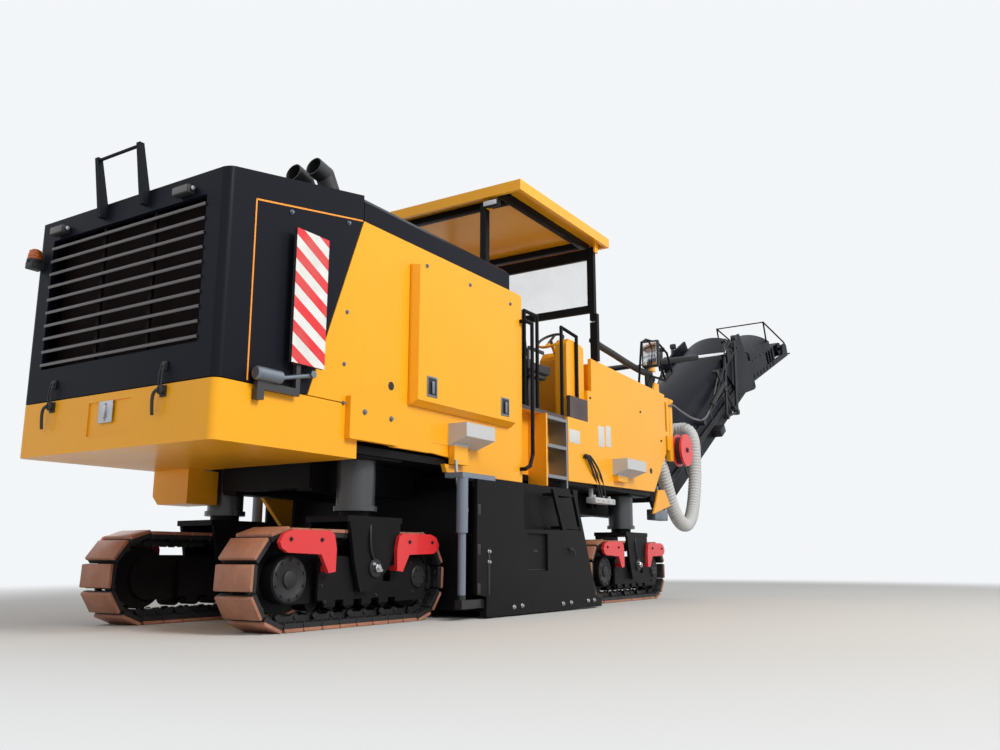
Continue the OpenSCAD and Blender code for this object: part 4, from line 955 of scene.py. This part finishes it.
heads = spots("Y", plate_y, (514, 607), (522, 605.6), (563, 603.6), (571, 602.4), (588, 600.6), (594, 600),
              (489, 551.5), (489, 562))
Solid().bolt([(p.x, plate_y, p.z) for p in heads], RIGHT, 0.013).mirror().piece(
    "plate_bolts", "machine", "bright_steel")

fittings = Solid()
a, b = spots("Y", plate_y, (487.5, 548), (490.5, 595))
slot_x = (a.x + b.x) / 2
fittings.block((slot_x - 0.012, plate_y - 0.004, b.z), (slot_x + 0.012, plate_y + 0.004, a.z), 0.002)
p = spot(570.6, 552, "Y", plate_y)
fittings.hose([(p.x - 0.03, plate_y + 0.01, p.z + 0.03), (p.x - 0.03, plate_y - 0.022, p.z + 0.03),
               (p.x + 0.02, plate_y - 0.028, p.z + 0.01), (p.x + 0.035, plate_y - 0.028, p.z - 0.04)],
              0.012, 0.010, 10)
for z in (0.20, 0.52, 0.85):
    fittings.block((2.655, plate_y - 0.003, z), (2.700, plate_y + 0.004, z + 0.09), 0.002)
fittings.block((3.47, -1.222, 0.385), (3.87, -1.219, 0.395), 0.001)
fittings.block((3.47 + 0.16, -1.224, 0.55), (3.47 + 0.24, -1.219, 0.57), 0.002)
fittings.mirror().piece("plate_fittings", "machine", "black_rubber")

pipe = Solid().hose([(2.46, -1.16, 1.30), (2.47, -1.165, 1.16), (2.49, -1.185, 0.98), (2.52, -1.205, 0.94),
                     (2.53, -1.215, 0.90)], 0.02, 0.014)
pipe.rod((2.488, -1.184, 0.975), (2.498, -1.190, 0.945), 0.022, 6)
pipe.rod((2.530, -1.214, 0.905), (2.530, -1.218, 0.870), 0.020, 6)
pipe.mirror().piece("cylinder_pipe", "machine", "bright_steel")

# Yellow foot and grey step under the nose

corners = spots("Y", -1.00, (658, 490), (664, 490), (670, 506), (653, 514))
Solid().prism([(c.x, c.z) for c in corners], -1.01, -0.985, 0.003).piece(
    "nose_foot", "machine", "yellow_paint")
a, b = spots("Y", -0.98, (655, 509), (668, 521))
middle_x = (a.x + b.x) / 2
step = Solid().block((a.x, -0.985, b.z), (b.x, -0.86, a.z), 0.012)
step.block((middle_x - 0.03, -0.94, a.z - 0.01), (middle_x + 0.03, -0.90, 1.42))
step.piece("nose_step", "machine", "cylinder_grey", slot="frame_paint")

# Canopy: beams against the ceiling and lamps under the roof's rear edge

ceiling_z, beam_y, lamp_y = 4.181, 0.88, 0.78
beams = Solid()
for y in (-beam_y, beam_y):
    beams.block((3.60, y - 0.035, 4.100), (5.56, y + 0.035, ceiling_z), 0.006)
for x in (3.82, 5.44):
    beams.block((x - 0.04, -0.86, 4.110), (x + 0.04, 0.86, ceiling_z), 0.006)
beams.piece("roof_beams", "canopy_roof", "frame_paint")
roof_lamps, lens = Solid(), Solid()
for y in (-lamp_y, lamp_y):
    roof_lamps.block((3.565, y - 0.09, 4.015), (3.640, y + 0.09, 4.085), 0.012)
    roof_lamps.block((3.600, y - 0.02, 4.060), (3.660, y + 0.02, 4.110))
    lens.block((3.561, y - 0.078, 4.025), (3.567, y + 0.078, 4.075), 0.002)
roof_lamps.piece("roof_lamps", "canopy_roof", "black_rubber")
lens.piece("roof_lamp_lenses", "canopy_roof", "clear_lens")

# Mirrors on the guard, a painted reflection on the guard's side, nose posts and the tube along the deck

p = spot(650.5, 354, "Y", -1.02)
Solid().block((p.x - 0.025, -1.14, p.z - 0.18), (p.x + 0.035, -0.90, p.z + 0.18), 0.018).mirror().piece(
    "mirror_cases", "machine", "black_rubber")
Solid().block((p.x - 0.028, -1.112, p.z - 0.150), (p.x - 0.020, -0.928, p.z + 0.150), 0.002).mirror().piece(
    "mirror_faces", "machine", "mirror_glass")
# Painted reflection: a yellow patch on the side of the guard stands in for the orange highlight that the
# guard reflects
p = spot(652, 369, "Y", -1.0)
Solid().prism([(p.x - 0.10, p.z - 0.03), (p.x + 0.10, p.z - 0.03), (p.x + 0.06, p.z + 0.05),
               (p.x - 0.02, p.z + 0.06)], -1.012, -0.990, 0.003).mirror().piece(
    "guard_reflectors", "machine", "yellow_paint")

nose_x, post_y = 7.591, -1.03
post = Solid()
p, top, foot = spots("Y", post_y, (669.5, 430), (669.5, 404), (669.5, 461))
post.block((nose_x, -1.060, foot.z), (p.x + 0.055, -0.985, top.z), 0.012)
post.rod((p.x, post_y, top.z - 0.01), (p.x, post_y, top.z + 0.05), 0.040, 24)
post.rod((p.x - 0.03, post_y, top.z + 0.035), (p.x + 0.09, post_y, top.z + 0.035), 0.030, 20)
post.mirror().piece("nose_posts", "machine", "yellow_paint")
deck_line = spots("Y", -0.90, (592, 340), (600, 346), (613, 354), (627, 363), (641, 371), (650, 374))
Solid().hose(deck_line, 0.04, 0.042).piece("deck_tube", "machine", "black_rubber")

# Conveyor, in its own frames: slewed, risen and folded as at rest

slew_a, rise_a, fold_a = math.radians(-3.0), math.radians(-32.0), math.radians(10.0)
slew_frame = Matrix.Translation((8.0, 0, 0)) @ Matrix.Rotation(slew_a, 4, "Z")
lower_frame = slew_frame @ Matrix.Translation((0.42, 0, 1.43)) @ Matrix.Rotation(rise_a, 4, "Y")
upper_frame = lower_frame @ Matrix.Translation((4.75, 0, -0.36)) @ Matrix.Rotation(fold_a, 4, "Y")
to_lower = lower_frame.inverted()


def lower_spot(px, py, y):
    """A photograph's point on the plane y of the lower section's frame."""
    start = to_lower @ eye
    ray = to_lower.to_3x3() @ pixel_ray(px, py)
    return start + ray * ((y - start.y) / ray.y)


# Members and cylinder of the linkage that folds the upper section
fold = Solid()
for a, b, r in (((734, 338), (737, 412), 0.030), ((716, 372), (734, 408), 0.020),
                ((724, 341), (727, 417), 0.024), ((729, 350), (716, 396), 0.014),
                ((736, 348), (724, 370), 0.014), ((727, 417), (737, 412), 0.020)):
    p, q = (lower_spot(*c, -0.585) for c in (a, b))
    fold.rod(p, q, r, 16)
    for c in (p, q):
        fold.rod((c.x, -0.62, c.z), (c.x, -0.535, c.z), r * 1.7, 24)
p, q, end = (lower_spot(*c, -0.60) for c in ((723, 384), (712, 405), (703, 423)))
fold.rod(p, q, 0.038, 20)
fold.rod(q, end, 0.020, 16)
for c in (p, end):
    fold.rod((c.x, -0.64, c.z), (c.x, -0.49, c.z), 0.040, 20)
p = lower_spot(720, 431, -0.60)
fold.block((p.x - 0.11, -0.66, p.z - 0.06), (p.x + 0.11, -0.49, p.z + 0.06), 0.010)
fold.mirror().piece("fold_links", "conveyor_lower", "dark_steel", matrix=lower_frame, slot="frame_paint")

# Bolts, ribs and edge strips of the lower section
bolt_pitch, rib_pitch, brace_pitch = 0.44, 0.72, 0.62
cover = Solid()
for k in range(9):
    for side in (-1, 1):
        cover.bolt([(0.80 + k * bolt_pitch, side * 0.5005, 0.155)], (0, side, 0), 0.011)
for k in range(1, 6):
    for y in (-0.502, 0.502):
        cover.block((0.35 + k * rib_pitch, y - 0.006, -0.31), (0.39 + k * rib_pitch, y + 0.006, 0.08), 0.003)
for y in (-0.508, 0.508):
    cover.block((0.80, y - 0.012, 0.085), (4.60, y + 0.012, 0.110), 0.003)
cover.piece("lower_ribs", "conveyor_lower", "dark_steel", matrix=lower_frame, slot="frame_paint")

control = Solid()
for k, z in enumerate((-0.05, -0.085, -0.12)):
    control.hose([(0.45, -0.516, z), (1.4, -0.522, z), (2.6, -0.520, z - 0.01), (3.6, -0.520, z),
                  (3.9, -0.520, z - 0.03 * k)], 0.08, 0.013, 10)
control.piece("lower_hoses", "conveyor_lower", "black_rubber", matrix=lower_frame)

brace = Solid()
for k in range(5):
    x = 1.05 + brace_pitch * k
    brace.block((x - 0.03, -0.47, -0.345), (x + 0.03, 0.47, -0.285), 0.005)
    brace.rod((x, -0.44, -0.315), (x + 0.60, 0.44, -0.315), 0.018, 12)
brace.piece("lower_braces", "conveyor_lower", "frame_paint", matrix=lower_frame)

# Ribs and bolts of the upper section
bolt_pitch, rib_pitch = 0.24, 0.20
rib = Solid()
for k in range(7):
    for y in (-0.494, 0.494):
        rib.block((0.25 + k * rib_pitch, y - 0.008, 0.07), (0.275 + k * rib_pitch, y + 0.008, 0.145), 0.003)
for k in range(6):
    for side in (-1, 1):
        rib.bolt([(0.30 + k * bolt_pitch, side * 0.4905, 0.405)], (0, side, 0), 0.010)
rib.piece("upper_ribs", "conveyor_upper", "dark_steel", matrix=upper_frame, slot="frame_paint")

# Reel: wound hose and hub

reel_x, reel_z = 7.9, 1.93
wound = Solid().lathe([(0.16, -0.042), (0.185, -0.030), (0.185, 0.030), (0.16, 0.042)],
                      (reel_x, -1.10, reel_z), (0, 1, 0), 40)
wound.piece("reel_hose", "machine", "black_rubber")
hub = Solid().lathe([(0.034, 0), (0.034, 0.012), (0.028, 0.016)], (reel_x, -1.170, reel_z), RIGHT, 32)
hub.piece("reel_hub", "machine", "dark_steel")


# Seats: cushions with sewn channels on a steel pedestal

def cushion(name, lo, hi, channels, matrix=None, left=False):
    """A crowned pad whose sides pull in between the corners."""
    edge_share, crown_share, waist, groove_depth, groove_w = 0.72, 0.28, 0.05, 0.20, 0.055
    lo, hi = Vector(lo), Vector(hi)
    middle, half = (lo + hi) / 2, (hi - lo) / 2
    part = bmesh.new()
    bmesh.ops.create_cube(part, size=2.0)
    bmesh.ops.subdivide_edges(part, edges=part.edges[:], cuts=19, use_grid_fill=True)
    thin = min(range(3), key=lambda i: half[i])
    u, w = (i for i in range(3) if i != thin)
    for v in part.verts:
        c = v.co.copy()
        crown = edge_share + crown_share * (1.0 - max(abs(c[u]), abs(c[w])) ** 3.0)
        pull, lift = 1.0 - waist * (1.0 - c[w] ** 2), 1.0 - waist * (1.0 - c[u] ** 2)
        groove = max(math.exp(-((c[u] - place) / groove_w) ** 2) for place in channels)
        c[u] *= pull if abs(v.co[u]) > 0.8 else 1.0
        c[w] *= lift if abs(v.co[w]) > 0.8 else 1.0
        c[thin] *= crown * (1.0 - groove_depth * groove)
        v.co = Vector([middle[i] + half[i] * c[i] for i in range(3)])
    for _ in range(3):
        bmesh.ops.smooth_vert(part, verts=part.verts[:], factor=0.35, use_axis_x=True, use_axis_y=True,
                              use_axis_z=True)
    obj = Solid().merge(part, matrix).piece(name, "machine", "seat_fabric", 180.0, left=left)
    return obj


def swell(obj, cap, frames=20):
    """Cloth pressure over some frames, kept within a cap of the start."""
    mesh = obj.data
    start = [v.co.copy() for v in mesh.vertices]
    cloth = obj.modifiers.new("swell", "CLOTH")
    cloth.settings.use_pressure = True
    cloth.settings.uniform_pressure_force = 4.0
    cloth.settings.effector_weights.gravity = 0.0
    cloth.settings.quality = 6
    for number in range(1, frames + 1):
        scene.frame_set(number)
    held = bpy.data.meshes.new_from_object(obj.evaluated_get(bpy.context.evaluated_depsgraph_get()))
    moved = [v.co.copy() for v in held.vertices]
    obj.modifiers.remove(cloth)
    bpy.data.meshes.remove(held)
    scene.frame_set(1)
    for v, a, b in zip(mesh.vertices, start, moved):
        step = b - a
        if step.length > cap:
            step *= cap / step.length
        v.co = a + step
    mesh.update()


seat_pads = []
seat_hinge = Vector((4.06, 0, 2.50))
recline = Matrix.Translation(seat_hinge) @ Matrix.Rotation(math.radians(-7.0), 4, "Y") \
    @ Matrix.Translation(-seat_hinge)
for side, left in BOTH_SIDES:
    seat_pads.append(cushion("seat_cushion_" + side, (4.075, -0.935, 2.385), (4.545, -0.465, 2.505),
                             (-0.45, 0.0, 0.45), left=left))
    seat_pads.append(cushion("seat_back_" + side, (4.005, -0.925, 2.52), (4.115, -0.475, 3.01),
                             (-0.5, 0.5), recline, left))
    stand = Solid().block((4.14, -0.90, 2.345), (4.50, -0.50, 2.385), 0.012)
    stand.prism([(4.18, 1.985), (4.44, 1.985), (4.40, 2.345), (4.20, 2.345)], -0.86, -0.54, 0.012)
    stand.block((4.045, -0.90, 2.36), (4.085, -0.50, 2.62), 0.010)
    for y in (-0.935, -0.495):
        stand.block((4.08, y, 2.60), (4.40, y + 0.03, 2.64), 0.012)
        stand.block((4.06, y + 0.006, 2.40), (4.10, y + 0.026, 2.61), 0.006)
    stand.piece("seat_frame_" + side, "machine", "dark_plastic", left=left,
                replaces=() if left else ["seats"])
most_swell = 0.012
for pad in seat_pads:
    swell(pad, most_swell)


# Pale floor that fades into the backdrop, and the studio's lights

backdrop = (0.90, 0.92, 0.94, 1.0)


def floor_material(fade_from=6.8, fade_to=12.5):
    f = Finish("pale_floor")
    colour = f.mix(f.noise(60.0, 3.0, 0.6) * 0.3, (0.62, 0.62, 0.61), (0.58, 0.58, 0.57))
    lit = f.node("ShaderNodeBsdfDiffuse", None, {"Color": colour})
    haze = f.node("ShaderNodeEmission", None, {"Color": backdrop})
    distance = f.node("ShaderNodeVectorMath", {"operation": "LENGTH"}, {0: f.place}, out=1)
    far = distance.ramp(fade_from, fade_to)
    blend = f.node("ShaderNodeMixShader", None, {0: far * far * (3.0 - far * 2.0), 1: lit, 2: haze})
    f.tree.links.new(blend.out, f.output.inputs[0])
    f.tree.nodes.remove(f.shader)
    return f.mat


half = 150
floor_mesh = bpy.data.meshes.new("floor")
floor_mesh.from_pydata([(-half, -half, 0), (half, -half, 0), (half, half, 0), (-half, half, 0)], [],
                       [(0, 1, 2, 3)])
floor_mesh.materials.append(floor_material())
floor = bpy.data.objects.new("floor", floor_mesh)
floor.location.z = -0.002
scene.collection.objects.link(floor)

# The camera, reflections and glass see the backdrop; everything else is lit by a dimmer sky
world = bpy.data.worlds.new("studio")
scene.world = world
world.use_nodes = True
tree = world.node_tree
tree.nodes.clear()
seen = add_node(tree, "ShaderNodeBackground", None, {0: backdrop, 1: 1.0})
glow = add_node(tree, "ShaderNodeBackground", None, {0: (0.92, 0.96, 1.0, 1.0), 1: 0.29})
path = add_node(tree, "ShaderNodeLightPath")
seen_by = Socket(tree, path.outputs["Is Camera Ray"])
for ray in ("Is Glossy Ray", "Is Transmission Ray"):
    seen_by = seen_by.math("MAXIMUM", path.outputs[ray])
mix = add_node(tree, "ShaderNodeMixShader", None, {0: seen_by, 1: glow.outputs[0], 2: seen.outputs[0]})
add_node(tree, "ShaderNodeOutputWorld", None, {0: mix.outputs[0]})


def lamp(name, kind):
    data = bpy.data.lights.new(name, kind)
    obj = bpy.data.objects.new(name, data)
    scene.collection.objects.link(obj)
    return data, obj


for name, place, target, size, watts, colour in (
        ("key", (2.0, -16.0, 12.0), (3.5, 0.0, 1.5), 6.0, 2600.0, (1.0, 0.97, 0.92)),
        ("rear_fill", (-12.0, -3.0, 8.0), (2.0, 0.0, 1.5), 7.0, 120.0, (0.92, 0.96, 1.0)),
        ("far_side", (8.0, 16.0, 10.0), (5.0, 0.0, 1.5), 7.0, 600.0, (1.0, 1.0, 1.0))):
    data, obj = lamp(name, "AREA")
    data.size, data.energy, data.color = size, watts, colour
    obj.location = at(*place)
    obj.rotation_euler = (at(*target) - at(*place)).to_track_quat("-Z", "Y").to_euler()
data, _ = lamp("sky_fill", "SUN")
data.energy, data.angle = 0.8, 2.6

scene.view_settings.view_transform = "Standard"
